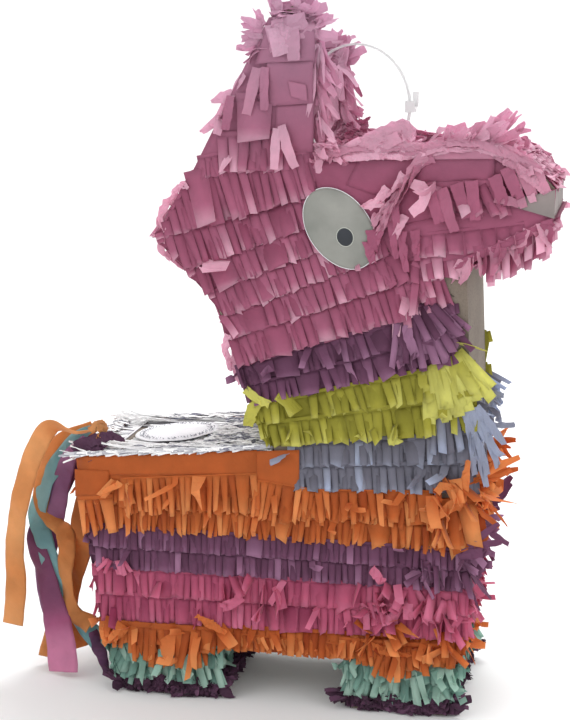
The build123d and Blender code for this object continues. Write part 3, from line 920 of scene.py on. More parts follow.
def muzzle(sheets, side):
    """The side of the muzzle: smooth sheets, two short rows, and loose strips that lie over them."""
    for corners, height, wrinkle, tone in (([(28, 345), (99, 349), (34, 316), (72, 302)], 0.7, 0.5, 0.36),
                                           ([(97, 350), (162, 347), (72, 303), (176, 315)], 0.5, 0.4, 0.34),
                                           ([(72, 304), (176, 331), (90, 272), (175, 311)], 0.9, 0.6, 0.42),
                                           ([(60, 347), (99, 349), (52, 331), (82, 321)], 1.1, 0.6, 0.34)):
        patch(sheets, side, corners, height, wrinkle, tone)
    laid_row(sheets, side, (94, 303), (158, 312), 15, width=9, height=1.3, tone=(0.42, 0.06), **NEAT)
    laid_row(sheets, side, (90, 288), (110, 292), 15, width=7, height=1.6, tone=(0.5, 0.1), **LOOSE)
    patch(sheets, side, [(99, 349), (140, 351), (94, 333), (140, 336)], 1.9, 0.5, 0.34)
    laid_row(sheets, side, (100, 334), (143, 336), 22, width=7.5, height=2.1, lean=18, tone=(0.5, 0.12),
             **LOOSE)
    for *start, dx, dz, tone in ((101, 333, 8, -23, 0.55), (109, 330, 9, -25, 0.62), (118, 333, 7, -20, 0.5),
                                 (127, 335, 3, -23, 0.56), (147, 343, 9, -20, 0.6), (156, 343, 8, -19, 0.72),
                                 (164, 341, 7, -13, 0.8), (140, 338, 7, -17, 0.5)):
        bowed_strand(sheets, side, start, (dx, dz), (54, 55.5, 55), 8, tone, wrinkle=0.2, taper=(1, 0.75))
    strand(sheets, raised(side, [(92, 333), (101, 330), (99, 321), (92, 315)], (54, 56, 57, 57)), 6.5, 1.0)
    # the rolled seam from the top of the muzzle down to the eye
    for number, line in enumerate(([(104, 349), (97, 345), (90, 333), (82, 320), (75, 305)],
                                   [(100, 350), (92, 342), (86, 330), (77, 314), (70, 297)],
                                   [(96, 346), (88, 334), (80, 322), (70, 311)],
                                   [(88, 338), (80, 328), (70, 321), (61, 318)])):
        strand(sheets, raised(side, line, [54 + number % 2] * 5), 7, 0.66 + 0.1 * number, twist=(0, 120, 240),
               count=26, columns=5, cup=1.0, taper=(1, 0.8, 0.4))
    for *start, dx, dz, tone in ((82, 322, 2, -20, 0.55), (88, 314, -7, -16, 0.9), (80, 312, 3, -24, 0.5),
                                 (78, 330, -12, -13, 1.0), (86, 304, 3, -24, 0.5), (94, 305, 2, -18, 0.45),
                                 (76, 322, -13, -3, 1.0), (72, 314, -7, -12, 0.8), (73, 306, -4, -16, 0.6)):
        bowed_strand(sheets, side, start, (dx, dz), (53, 55, 54), 6, tone, taper=(1, 0.5))
    # loose fingers at the back of the jaw, and where the cheek meets the purple of the neck
    fan(sheets, side, (106, 285), (120, 289), (-10, 15), 11, 5, 1.5, 6, (0.6, 0.15), **LOOSE)
    fan(sheets, side, (84, 257), (101, 281), (4, 24), 16, 9, 1.5, 5.5, (0.6, 0.15), **LOOSE)


def ear(sheets, side):
    """The outer face of an ear: sheets, rows, the crumpled tip and the loose strips along its edges."""
    rng = sheets.rng
    drop = EAR_TIPS[side] - EAR_TIPS[-1]

    def place(x, z):
        """Points of the taller ear, brought down towards the base on the shorter one."""
        return (x, z + drop * (z - EAR_FOOT) / (EAR_TIPS[-1] - EAR_FOOT))

    def cover(corners, *style):
        patch(sheets, side, [place(*corner) for corner in corners], *style)
    patch(sheets, side, [place(5, 429), place(33, 432), (-44, 335), (32, 344)], 0.4, 0.3, 0.36)
    patch(sheets, side, [place(9, 379), place(32, 380), (9, 350), (32, 350)], 0.9, 0.4, 0.4)
    laid_row(sheets, side, (-40, 347), (10, 356), 14, height=1.0, mess=0.04, tone=(0.42, 0.1))
    laid_row(sheets, side, place(-27, 362), place(14, 363), 24, width=6.4, height=1.5, **NEAT)
    laid_row(sheets, side, place(-15, 385), place(8, 385), 28, width=7, height=1.9, join=0.5, **NEAT)
    cover([(4, 403), (32, 404), (4, 377), (32, 379)], 2.1, 0.5, 0.36)
    cover([(3, 420), (33, 422), (-3, 402), (33, 404)], 2.5, 0.5, 0.4)
    cover([(17, 392), (28, 390), (19, 383), (29, 380)], 3.0, 0.8, 0.6)
    for *start, dx, dz, width, tone in ((-2, 400, -6, -28, 7, 0.72), (3, 400, 0, -25, 6, 0.62),
                                        (10, 364, -1, -24, 6, 0.95), (13, 366, 9, -25, 6.5, 0.9),
                                        (20, 424, 1, -20, 9, 0.8), (-18, 383, -3, -20, 6, 0.5)):
        bowed_strand(sheets, side, place(*start), (dx, dz), (52.5, 55.5, 54.5), width, tone, 0.4, wrinkle=0.2,
                     taper=(0.8, 1, 0.8))
    # the crumpled tip, at high tones: a painted glow of backlight along the top
    for turn in range(8):
        lean = rng.normal(0, 3, 3)
        x, z = place(18, 431 - turn * 2.2)
        crumple(sheets, (x + lean[0], side * (46 + 1.2 * turn), z), (24 - turn, lean[1], 3),
                (-3, lean[2], 16), 13, 5, 0.6 + 0.05 * turn, 9, bow=5)
    x, z = place(19, 432)
    for _ in range(9):
        crumple(sheets, (x + rng.normal(0, 4), side * (48 + rng.normal(0, 1.5)), z + rng.uniform(-3, 1)),
                (18, rng.normal(0, 3), rng.normal(0, 2)), (0, 11, rng.normal(0, 2)), 11, 5, 0.85, 8)
    # crumpled over the inner face too, at a high tone: painted light over the inner face's shade
    x, z = place(20, 430)
    for _ in range(7):
        crumple(sheets, (x + rng.normal(0, 5), side * 45.5, z + rng.uniform(-8, 2)),
                (15, rng.normal(0, 2), 2), (rng.normal(0, 3), rng.normal(0, 2), 12), 12, 4, 0.9, 8)
    # strips that point out of the tip, and back from the rear edge; their high tones are a painted glow of
    # backlight
    for x, z in ((2, 426), (1, 420), (0, 414), (31, 428), (32, 422), (12, 433), (22, 434), (28, 433)):
        away = (x - 17, rng.uniform(-4, 6) * side, (z - 420) * 0.7 + rng.uniform(-3, 6))
        for _ in range(3):
            spike(sheets, (x, side * 50.5, place(x, z)[1] - 2), away, rng.uniform(9, 16), 6, 24, 0.85)
    spike(sheets, (30, side * 51, place(30, 424)[1]), (1, 0, 0.16), 18, 6, 3, 0.9)
    for x, z, dx, dz in ((2, 419, -14, 3), (4, 412, -14, -2), (3, 414, -16, -9), (2, 424, -6, 10),
                         (-10, 396, -8, -11), (-17, 385, -12, -9), (-20, 381, -14, -20), (-26, 372, -9, -14),
                         (-22, 378, -8, -17)):
        spike(sheets, (x, side * 51, place(x, z)[1]), unit(np.array([dx, 0.0, dz])), math.hypot(dx, dz), 7, 6,
              0.9)
    # long strips down the front edge, bright from high tones: a painted glow of backlight
    for _ in range(26):
        z = rng.uniform(362, place(0, 422)[1])
        root = (33 + rng.uniform(-1, 2), side * (51 - rng.uniform(0, 9)), z)
        spike(sheets, root, (rng.uniform(-0.05, 0.4), 0.1 * side, -1), min(rng.uniform(16, 32), z - EAR_FOOT),
              5.5, 9, rng.uniform(0.6, 1.0))


def ear_foot(sheets, side):
    """Crumpled tissue that hides the joint of an ear and the top of the head."""
    rng = sheets.rng
    for number in range(10):
        centre = (31 + number * 2.6, side * (50 - rng.uniform(0, 5)),
                  349 + rng.uniform(-3, 9) * (1 - number / 12))
        crumple(sheets, centre, (14, rng.normal(0, 4), rng.normal(0, 3)),
                (rng.normal(0, 3), rng.normal(0, 4), 11), 4, 6, rng.uniform(0.6, 1.0), 18)
    for _ in range(16):
        spike(sheets, (34 + rng.uniform(0, 16), side * 51, rng.uniform(348, 358)),
              (rng.normal(0.7, 0.6), side * 0.5, rng.normal(-0.2, 0.6)), rng.uniform(9, 17), 5.5, 10,
              rng.uniform(0.6, 1.0))


def ear_inside(sheets, side):
    """The smooth sheet on an ear's inner face, and three short rows over it."""
    face = {"across": FORWARD, "down": DOWN, "out": np.array([0.0, -side, 0.0]), "card": -47 * MM}
    tall = side < 0
    rear = [(-30, 348), (-16, 373), (4, 403), (8, 419 if tall else 403), (31, 425 if tall else 404)]
    at = np.linspace(-30, 31, 22) * MM
    crest = np.interp(at / MM, *zip(*rear)) * MM
    flat_sheet(sheets, face, at, -crest, np.full(22, -EAR_FOOT * MM), 0.6 * MM, 0.5 * MM, 0.36, 12)
    for height in (360, 377, 394):
        low = np.interp(height, [348, 373, 403], [-28, -14, 6])
        count = int((30 - low) / 6)
        x = np.linspace(low + 3, 28, count) * MM
        fingers(sheets, on_face(face, x, -height * MM, 1.2 * MM), FORWARD, DOWN, face["out"], 17 * MM, 6 * MM,
                mess=0.2, pitch=6)


def top_edge(sheets, side):
    """Sheets folded over the top edge of the muzzle, and down over its side, at high tones: a painted glow of
    backlight along the top.
    """
    rng = sheets.rng
    y = side * 52.5
    runs = [
        [(44, 347), (62, 349), (82, 352), (100, 352)], [(40, 350), (60, 353), (84, 355), (104, 353)],
        [(58, 348), (80, 349), (104, 352), (128, 355)], [(98, 352), (116, 355), (132, 356), (146, 354)],
        [(112, 357), (132, 357), (150, 351), (164, 344)], [(120, 356), (140, 354), (156, 348), (168, 340)],
        [(136, 353), (150, 348), (160, 340), (168, 331)], [(146, 348), (156, 342), (164, 335), (169, 328)],
    ]
    for run in runs:
        for _ in range(2):
            line = [(x, y + side * rng.uniform(-2.5, 2.5), z + rng.uniform(-1.5, 1.5)) for x, z in run]
            strand(sheets, line, rng.uniform(5, 9), rng.uniform(0.7, 1.0), facing=(0, side, 0.5),
                   twist=tuple(rng.uniform(-60, 60, 5)), count=30, columns=6, cup=1.2, taper=(0.7, 1, 0.5),
                   wrinkle=0.3)
    # wide strips that stand up in front of the loop, on the right
    for rise in (0, -2, -5) if side < 0 else ():
        line = raised(side, [(50, 350), (68, 359 + rise), (86, 367 + rise), (91, 362 + rise)],
                      (52.5, 54.5, 53.5, 52.5))
        strand(sheets, line, 9, rng.uniform(0.85, 1.0), facing=(0, side, 0.3), count=20, columns=6,
               taper=(0.8, 1, 0.8), wrinkle=0.4)
    patch(sheets, side, [(98, 355), (140, 358), (101, 347), (141, 348)], 3.2, 1.2, 0.72)
    patch(sheets, side, [(140, 356), (168, 344), (140, 348), (160, 337)], 3.4, 1.5, 0.76)
    for x, z, dx, dz in ((52, 348, 26, 8), (64, 350, 22, 9), (72, 351, 16, 7), (100, 354, 14, 6),
                         (112, 356, 14, 7),
                         (122, 356, 12, 12), (127, 356, 16, 14), (134, 357, 12, 14), (140, 356, 14, 5),
                         (146, 352, 12, 0), (152, 349, 10, -3), (157, 345, 8, -6), (118, 356, 16, 3),
                         (104, 353, 18, 2)):
        for _ in range(2):
            spike(sheets, (x, y - side * rng.uniform(0, 4), z), (dx, rng.normal(0, 4), dz),
                  math.hypot(dx, dz), 7, 8, rng.uniform(0.75, 1.0))


for side, name in SIDES:
    seed = 100 + 50 * side
    sheets = Sheets(seed, [held_under(in_eye, side), held_under(in_mouth, side)])
    for face in outer_faces(f"{name}_head_fringe", HEAD_CENTRE):
        fringe_face(sheets, face, skip=muzzle_area, header=0.08, **NEAT)
    muzzle(sheets, side)
    stand_for(sheets.build(f"{name}_head_tissue", "tissue_pink"), "shell", f"{name}_head_fringe")

    sheets = Sheets(seed + 1)
    ear(sheets, side)
    ear_foot(sheets, side)
    ear_inside(sheets, side)
    stand_for(sheets.build(f"{name}_ear_tissue", "tissue_pink"), "shell", f"{name}_ear_fringe")


def between_ears(sheets):
    """Long loose strips in front of the left ear."""
    rng = sheets.rng
    # their tones are kept high: painted light over the shade between the ears
    for _ in range(60):
        z = rng.uniform(356, 402)
        x = np.interp(z, [352, 362, 380, 402], [44, 43, 36, 33]) + rng.uniform(-9, 1)
        spike(sheets, (x, rng.uniform(31, 46), z), (rng.normal(0.15, 0.35), -0.1, -1),
              min(rng.uniform(12, 26), z - EAR_FOOT), 5.5, 14, rng.uniform(0.8, 1.0))
    for _ in range(9):
        crumple(sheets, (rng.uniform(34, 46), rng.uniform(30, 42), rng.uniform(350, 362)),
                (13, rng.normal(0, 4), rng.normal(0, 5)), (rng.normal(0, 5), rng.normal(0, 4), 11), 4, 6,
                rng.uniform(0.6, 1.0), 18)


band("crown_fringe", 64, HEAD_CENTRE, hint=BACKWARD, rows=4, edge_out=1, **NEAT)


def muzzle_top_extra(sheets):
    for side, _ in SIDES:
        top_edge(sheets, side)
        # strips that lie over the corner of the mouth and the edge of the eye
        for *start, dx, dz, tone in ((150, 341, 8, -21, 0.75), (158, 340, 5, -17, 0.9),
                                     (141, 326, 14, -4, 0.7),
                                     (66, 298, 3, -13, 0.5), (68, 305, 2, -14, 0.42)):
            bowed_strand(sheets, side, start, (dx, dz), (53.6, 54.8, 53.8), 7, tone, wrinkle=0.2,
                         taper=(1, 0.6))
        fan(sheets, side, (162, 308), (172, 313), (10, 80), 9, 8, -1, 4, (0.9, 0.1), **LOOSE)
    between_ears(sheets)
    # tufts along the top, at high tones: painted light from above and behind
    for x in np.linspace(84, 150, 14):
        tuft(sheets, (x, sheets.rng.uniform(-40, 40), np.interp(x, [16, 135, 161], [346, 353, 348])),
             (0.8, 0, 0.3),
             3, 10, 5.5, 30, (0.85, 0.12))


def clear_of_ties(points):
    """Fingers that would hang over the loop's two holes are left out."""
    x, y = points[..., 0] / MM, points[..., 1] / MM
    return ((np.abs(x - 32.2) < 13) | (np.abs(x - 70.2) < 13)) & (np.abs(y) < 11)


# the upward face of the muzzle gets high tones: painted light from above and behind
band("muzzle_top_fringe", 65, HEAD_CENTRE, hint=FORWARD, rows=5, edge_out=1, extra=muzzle_top_extra,
     skip=clear_of_ties, tone=(0.7, 0.15), splay=5, pitch=4, curl=5, twist=14, mess=0.06)


def jaw_extra(sheets):
    rng = sheets.rng
    slope = unit(np.array([54.0, 0, 28]))
    count = 8
    # the hanging fingers and the strips along the jaw get high tones: painted glints of light
    for y in np.linspace(-51, 51, 11):
        x = np.sort(rng.uniform(137, 173, count))
        root = np.stack([x, np.full(count, y) + rng.normal(0, 1, count),
                         np.interp(x, [121, 175], [283, 311])], -1)
        fingers(sheets, root * MM, slope, DOWN, -LEFT if y < 0 else LEFT, rng.uniform(14, 22, count) * MM,
                FINGER * MM, splay=5, mess=0.08, pitch=4, curl=5, twist=14, tone=(0.7, 0.18), cling=False,
                taper=0.1)
    for side, _ in SIDES:
        # the sheet turned under along the edge of the jaw
        strand(sheets, raised(side, [(118, 283), (136, 293), (156, 303), (175, 312)], (52, 53, 53, 52)), 5,
               0.45,
               twist=(0, 20, -15), count=24, columns=5, cup=1.0)
        for x in np.linspace(122, 170, 15):
            spike(sheets, (x, side * 53, np.interp(x, [118, 175], [286, 315])),
                  (rng.normal(0.1, 0.3), 0.1 * side, -1), rng.uniform(12, 19), 6.5, 8, rng.uniform(0.5, 1.0))


band("jaw_fringe", 66, HEAD_CENTRE, hint=BACKWARD, rows=4, extra=jaw_extra, **LOOSE)


def nape_extra(sheets):
    rng = sheets.rng
    for side, _ in SIDES:
        for points in ([(-52, 321), (-60, 318), (-64, 309), (-60, 300)], [(-58, 312), (-65, 306), (-64, 296)],
                       [(-46, 330), (-53, 326), (-58, 316)], [(-63, 298), (-64, 288), (-58, 282)],
                       [(-60, 288), (-52, 280), (-46, 276)], [(-20, 238), (-23, 228), (-20, 214)],
                       [(-16, 230), (-18, 218), (-14, 206)]):
            line = [(x, side * (50 + rng.uniform(-3, 2)), z) for x, z in points]
            strand(sheets, line, 6, rng.uniform(0.7, 1.0), count=14, twist=(0, rng.uniform(-60, 60)),
                   taper=(1, 0.5))


band("nape_fringe", 63, HEAD_CENTRE, edge_out=1, tone=(0.55, 0.15), extra=nape_extra, **NEAT)

# ---------------------------------------------------------------- neck

def purple_extra(sheets):
    for side, _ in SIDES:
        reach_out = 1.0 if side < 0 else 0.7
        for start, end, lean, length, depth in (((99, 262), (108, 261), (34, 56), 23, 1.2),
                                                ((92, 260), (106, 259), (18, 44), 32, 1.9),
                                                ((84, 252), (101, 255), (-4, 30), 31, 2.6),
                                                ((94, 258), (106, 260), (30, 50), 25, 3.2)):
            fan(sheets, side, start, end, lean, length * reach_out, 9, depth, 5, (0.5, 0.24), **NEAT)
        strand(sheets, raised(side, [(90, 248), (92, 240), (96, 228)], (54, 57, 55)), 6, 0.95)


band("neck_purple_fringe", 60, None, extra=purple_extra, **LOOSE)


def lime_extra(sheets):
    for side, _ in SIDES:
        for start, end, lean, length, depth in (((103, 221), (116, 227), (2, 22), 33, 1.2),
                                                ((108, 225), (121, 233), (12, 44), 32, 1.9),
                                                ((107, 224), (119, 231), (8, 36), 31, 2.5)):
            if side > 0:
                end, length = start, length * 0.8
            fan(sheets, side, start, end, lean, length, 9, depth, 8, (0.86, 0.1), **CLOSE)
        if side < 0:
            spike(sheets, (120, side * 53.5, 238), (1, 0, -0.18), 19, 5.5, 2, 0.8)
        strand(sheets, raised(side, [(6, 195), (-2, 199), (-10, 204)], (53.5, 55.5, 53.5)), 5.5, 0.9)
        strand(sheets, raised(side, [(0, 197), (-6, 191), (-8, 181)], (53.5, 54.5, 53.5)), 7, 0.75)
        scatter(sheets, (10, side * 53, 176), (90, side * 54, 186), (0.1, 0.5 * side, -1), 9, 14, 5, 25)


band("neck_lime_fringe", 61, None, extra=lime_extra, **LOOSE)


def grey_extra(sheets):
    for side, _ in SIDES:
        for depth in (-6, -3, 0):
            fan(sheets, side, (121, 204), (128, 190), (56, 12), 24, 8, depth, 3.6, (0.65, 0.22), **LOOSE)
        fan(sheets, side, (106, 196), (122, 202), (0, 24), 28, 6, 1.0, 5, (0.5, 0.2), **NEAT)
        if side > 0:
            continue
        spike(sheets, (136, -51, 208), (1, 0, -0.1), 13, 5, 2, 0.7)
        spike(sheets, (140, -50, 189), (1, 0, -0.1), 16, 5, 2, 0.7)
        # long pale strips that hang over the corner of the chest
        for points in ([(126, 197), (133, 178), (140, 151)], [(131, 198), (138, 188), (147, 163)],
                       [(128, 192), (136, 174), (141, 158)], [(133, 200), (141, 190), (150, 178)],
                       [(127, 200), (130, 180), (133, 158)], [(130, 196), (140, 180), (149, 170)]):
            line = [(x, -53.5 - 0.4 * k, z) for k, (x, z) in enumerate(points)]
            strand(sheets, line, 5, sheets.rng.uniform(0.8, 1.0), twist=(0, 30), taper=(1, 0.8))
        spike(sheets, (6, -53, 158), (1, 0, 0.6), 14, 5, 4, 0.8)


band("neck_grey_fringe", 62, BODY_CENTRE, extra=grey_extra, **NEAT)

# ---------------------------------------------------------------- body

def header_face(face):
    """True for the plain orange sheet under the saddle, and its like on the rump."""
    return face["high"][2] > 0.1405 and face["low"][2] > 0.1355


def chest_scraps(height, count, near, far):
    """Fingers that stand out from the chest's two edges, as long as near on the right and far on the left."""
    def extra(sheets):
        for side, length in ((-1, near), (1, far)):
            scatter(sheets, (124, side * 50, height - 11), (130, side * 40, height + 11), (1, 0, -0.3), count,
                    length, 5, 38, (0.6, 0.2))
    return extra


def orange_side(side):
    def extra(sheets):
        rng = sheets.rng
        y = side * 53
        # the squarer end of the sheet at the rump, and its own short fringe
        patch(sheets, side, [(-119, 155.5), (-3, 165.5), (-119, 143), (-3, 150)], 1.9, 0.4, 0.42)
        patch(sheets, side, [(-8, 164.5), (24, 167), (-8, 143), (24, 141)], 1.6, 0.4, 0.42)
        patch(sheets, side, [(-122, 147), (-99, 147), (-122, 129), (-100, 131)], 2.4, 0.5, 0.42)
        laid_row(sheets, side, (-121, 130), (-97, 132), 24, width=5, height=2.6, lean=4, tone=(0.6, 0.15),
                 **POINTED)
        fan(sheets, side, (-96, 141), (-86, 139), (-40, 30), 13, 8, 3, 4, (0.7, 0.2), **RAGGED)
        # the first row hangs from higher up on this half than further on
        for start, end, length, width, height, header, tone in (((-92, 143), (-3, 151), 24, 4.4, 2.4, 0.04,
                                                                 0.6),
                                                                ((-4, 147), (31, 143), 24, 4.6, 2.2, 0.04,
                                                                 0.55),
                                                                ((24, 142), (108, 146), 19, 5.2, 1.7, 0.05,
                                                                 0.5)):
            laid_row(sheets, side, start, end, length, width=width, height=height, header=header,
                     tone=(tone, 0.15), **POINTED)
        # loose fingers near the chest
        laid_row(sheets, side, (106, 140), (134, 144), 30, width=6, height=3, tone=(0.55, 0.2), **LOOSE)
        scatter(sheets, (106, y + side, 126), (131, y + 3 * side, 158), (0.35, 0.4 * side, -1), 13, 20, 6.4,
                34, (0.6, 0.2))
        for points in ([(110, 146), (114, 151), (122, 149), (124, 141), (112, 133), (107, 122)],
                       [(119, 139), (124, 138), (127, 150), (129, 168)]):
            line = [(x, y + side * rng.uniform(4, 6), z) for x, z in points]
            strand(sheets, line, 7.5, 0.85, count=18, twist=(0, rng.uniform(-60, 60)), taper=(0.6, 1, 0.6))
        for dx, dz in ((27, 26), (29, 12), (27, 1), (29, -8), (26, -21), (20, 10), (16, -26)):
            z = 150 + rng.uniform(-5, 5)
            spike(sheets, (129, side * 51, z), (dx, rng.uniform(-4, 4), dz),
                  math.hypot(dx, dz) * (1 if side < 0 else 0.7), 6, 4, rng.uniform(0.5, 0.9))
    return extra


def purple_side(side):
    def extra(sheets):
        y = side * 52
        for x, z, dx, dz in ((130, 108, 22, 8), (132, 99, 14, -19), (134, 112, 16, 13), (128, 104, 12, 4),
                             (131, 92, 8, -18)):
            spike(sheets, (x - 4, y, z), (dx, 2 * side, dz), math.hypot(dx, dz) + 4, 6, 5, 0.6)
        scatter(sheets, (92, y, 88), (130, y + 2 * side, 106), (0.2, 0.3 * side, -1), 16, 15, 5.2, 30)
    return extra


def pink_side(side):
    def extra(sheets):
        strand(sheets, raised(side, [(70, 94), (74, 91), (78, 86)], (54, 57, 55)), 6, 1.0)
        strand(sheets, raised(side, [(-26, 62), (-18, 66), (-12, 71)], (54, 57, 56)), 6, 0.8)
        scatter(sheets, (56, side * 52, 58), (122, side * 54, 86), (0.2, 0.4 * side, -1), 46, 15, 5.5, 38,
                (0.6, 0.25))
        fan(sheets, side, (-103, 88), (-90, 87), (-60, 60), 9, 9, 2, 3.6, (0.75, 0.15), **RAGGED)
        scatter(sheets, (-100, side * 52, 56), (40, side * 53, 84), (0.1, 0.4 * side, -1), 14, 14, 6.5, 30,
                (0.6, 0.2))
    return extra


def hem_side(side):
    def extra(sheets):
        rng = sheets.rng
        y = side * 53.5
        for points in ([(-42, 56), (-32, 50), (-22, 46)], [(66, 48), (76, 42), (86, 40), (96, 41)]):
            line = [(x, y + side * rng.uniform(0, 3), z) for x, z in points]
            strand(sheets, line, 5.5, rng.uniform(0.5, 0.8), count=18, twist=(0, 40), taper=(0.5, 1, 0.5))
        # the long fingers over the feet, lowest at the middle of each foot
        for x, half, length in ((-93, 7, 18), (-80, 8, 25), (-65, 9, 28), (-49, 8, 27), (-37, 6, 17),
                                (57, 7, 13), (70, 8, 17), (85, 9, 23), (99, 7, 18), (112, 7, 13)):
            for height in (2.2, 3.6):
                laid_row(sheets, side, (x - half, 48), (x + half, 48), length, width=4.8, height=height,
                         lean=rng.normal(0, 5), tone=(0.42, 0.18), **LOOSE)
        scatter(sheets, (58, y, 42), (120, y + 2 * side, 60), (0.2, 0.4 * side, -1), 22, 15, 5, 34,
                (0.5, 0.2))
        fan(sheets, side, (-100, 50), (-94, 46), (-55, 20), 12, 5, 3, 5, (0.55, 0.2), **RAGGED)
        laid_row(sheets, side, (-26, 45), (54, 43), 9, width=3.2, height=1.6, lean=20, tone=(0.45, 0.2),
                 **LOOSE)
    return extra


for side, name in SIDES:
    seed = 200 + 50 * side
    band(f"{name}_orange_fringe", seed, plain=header_face, width=4.8, header=0.1, tone=(0.5, 0.16),
         overhang=1.6,
         extra=orange_side(side), **POINTED)
    band(f"{name}_purple_fringe", seed + 1, width=4.2, join=0.06, extra=purple_side(side), tone=(0.45, 0.14),
         **NEAT)
    band(f"{name}_pink_fringe", seed + 2, width=4.6, extra=pink_side(side), join=0.1, tone=(0.45, 0.14),
         **NEAT)
    band(f"{name}_hem_fringe", seed + 3, width=5.0, extra=hem_side(side), tone=(0.42, 0.16), **LOOSE)
for end, seed in (("chest", 300), ("rump", 310)):
    scraps = [chest_scraps(150, 16, 17, 15), chest_scraps(104, 10, 13, 12), chest_scraps(72, 7, 7, 6)]
    if end == "rump":
        scraps = [None] * 3
    band(f"{end}_orange_fringe", seed, plain=header_face, extra=scraps[0], **RAGGED)
    band(f"{end}_purple_fringe", seed + 1, extra=scraps[1], **RAGGED)
    band(f"{end}_pink_fringe", seed + 2, extra=scraps[2], **RAGGED)
    band(f"{end}_hem_fringe", seed + 3, **RAGGED)

# ---------------------------------------------------------------- feet

def teal_extra(sheets):
    for side, _ in SIDES:
        for rear, front in ((-90, -38), (62, 118)):
            for depth in (-0.6, 0.0, 0.6):
                fan(sheets, side, (rear, 34), (front, 34), (-26, 28), 26, 12, depth, 5.4, (0.6, 0.22),
                    **LOOSE)


band("feet_teal_fringe", 67, None, extra=teal_extra, tone=(0.5, 0.2), **RAGGED)


def plum_extra(sheets):
    """Crumpled scraps all round each foot, and strips that stand out at its corners."""
    rng = sheets.rng
    count = 76
    for centre in (-61, 88):
        for number in range(count):
            angle = number / count * 2 * math.pi
            x, y = np.clip([1.3 * 33 * math.cos(angle), 1.25 * 53 * math.sin(angle)], (-31, -52), (31, 52))
            crumple(sheets, (centre + x, y, rng.uniform(4, 8)), (12, rng.normal(0, 4), rng.normal(0, 3)),
                    (rng.normal(0, 3), rng.normal(0, 4), 11), 4, 7, rng.uniform(0.2, 0.8), 10)
        for x, y in ((-32, -50), (-32, 50), (32, -50), (32, 50)):
            for _ in range(6):
                spike(sheets, (centre + x, y, rng.uniform(5, 12)), (x, y * 0.2, rng.uniform(-4, 16)),
                      rng.uniform(9, 16), 6, 16, rng.uniform(0.3, 0.8))


band("feet_plum_fringe", 68, None, overhang=-1, extra=plum_extra, **LOOSE)

# ---------------------------------------------------------------- saddle, flap and label

SLOPE = (165 - 154) / 128    # of the back, which rises towards the neck
CLEAR_OF_FLAP = 37           # loose strips beside the flap stay further out than this


def back_height(x):
    return 154 + (x + 120) * SLOPE


def saddle_extra(sheets):
    rng = sheets.rng
    for _ in range(260):
        y = rng.uniform(-50, 50)
        beside = abs(y) > CLEAR_OF_FLAP
        x = rng.choice([rng.uniform(-117, -112), rng.uniform(-34, 4)])
        length = min(rng.uniform(14, 26), x + 124 if x < -50 else x + 42)
        if beside:
            x = rng.uniform(-116, 4)
            length = min(rng.uniform(14, 26), x + 124)
        z = back_height(x) + rng.uniform(2, 4)
        # about a third of the strips are narrow and at tone 0, grey: painted shade in the gaps between the white
        # strips
        tone, width = (rng.uniform(0.8, 1), 2.8) if rng.random() < 0.68 else (0.0, 1.6)
        rise = rng.uniform(0.5, 3)
        line = [(x, y, z), (x - length / 2, y + rng.normal(0, 1.5), z - length / 2 * SLOPE + rise),
                (x - length, y + rng.normal(0, 2 if beside else 1), z - length * SLOPE + rise * 0.5)]
        strand(sheets, line, width, tone, columns=3, wrinkle=0.2, facing=(0, 0, 1), taper=(1, 0.6))
    for side, _ in SIDES:
        # strips that lie along the edge, a little over it; their tones run down to grey, painted shade between
        # them
        for number in range(96):
            x = 6 - 1.22 * number + rng.normal(0, 1)
            z = back_height(x)
            length, drop = rng.uniform(15, 24), rng.uniform(-1.2, 2.2)
            line = [(x, side * rng.uniform(49, 52), z + 3.6),
                    (x - length / 2, side * 52.6, z + 3.4 - length / 2 * SLOPE),
                    (x - length, side * 53.6, z + 3 - length * SLOPE - drop)]
            strand(sheets, line, 2.6, rng.uniform(0.0, 1), columns=3, wrinkle=0.15, facing=(0, side, 0.8),
                   taper=(1, 0.6))
        # long strips past the rump
        for _ in range(14):
            spike(sheets, (-108 + rng.uniform(-6, 8), side * rng.uniform(36, 52), 157 + rng.uniform(0, 3)),
                  (-1, 0.1 * side, rng.uniform(-0.45, 0.1)), rng.uniform(14, 24), 2.8, 6, rng.uniform(0.5, 1))


# a wide spread of tone, so that many fingers come out grey: painted shade in the gaps between the white strips
band("saddle_fringe", 69, BODY_CENTRE, hint=BACKWARD, width=3, join=0.03, extra=saddle_extra,
     tone=(0.55, 0.34),
     **{**NEAT, "mess": 0.0})
band("flap_fringe", 70, BODY_CENTRE, hint=BACKWARD, body="flap", width=3, join=0.03, tone=(0.55, 0.34),
     splay=1.5, pitch=2, curl=3, twist=6, mess=0.0)

label_low, label_high = (np.array(c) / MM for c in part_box("fill_label"))
label_up = unit(np.array([-SLOPE, 0.0, 1.0]))
label_along = unit(np.array([1.0, 0.0, SLOPE]))
label_centre = (label_low + label_high) / 2
disc("label_disc", "label_paper", "fill_label", label_centre, (56, 56), 0, label_up, 0.3, 0.4, 1.4, 9, "flap",
     LEFT, label_along)

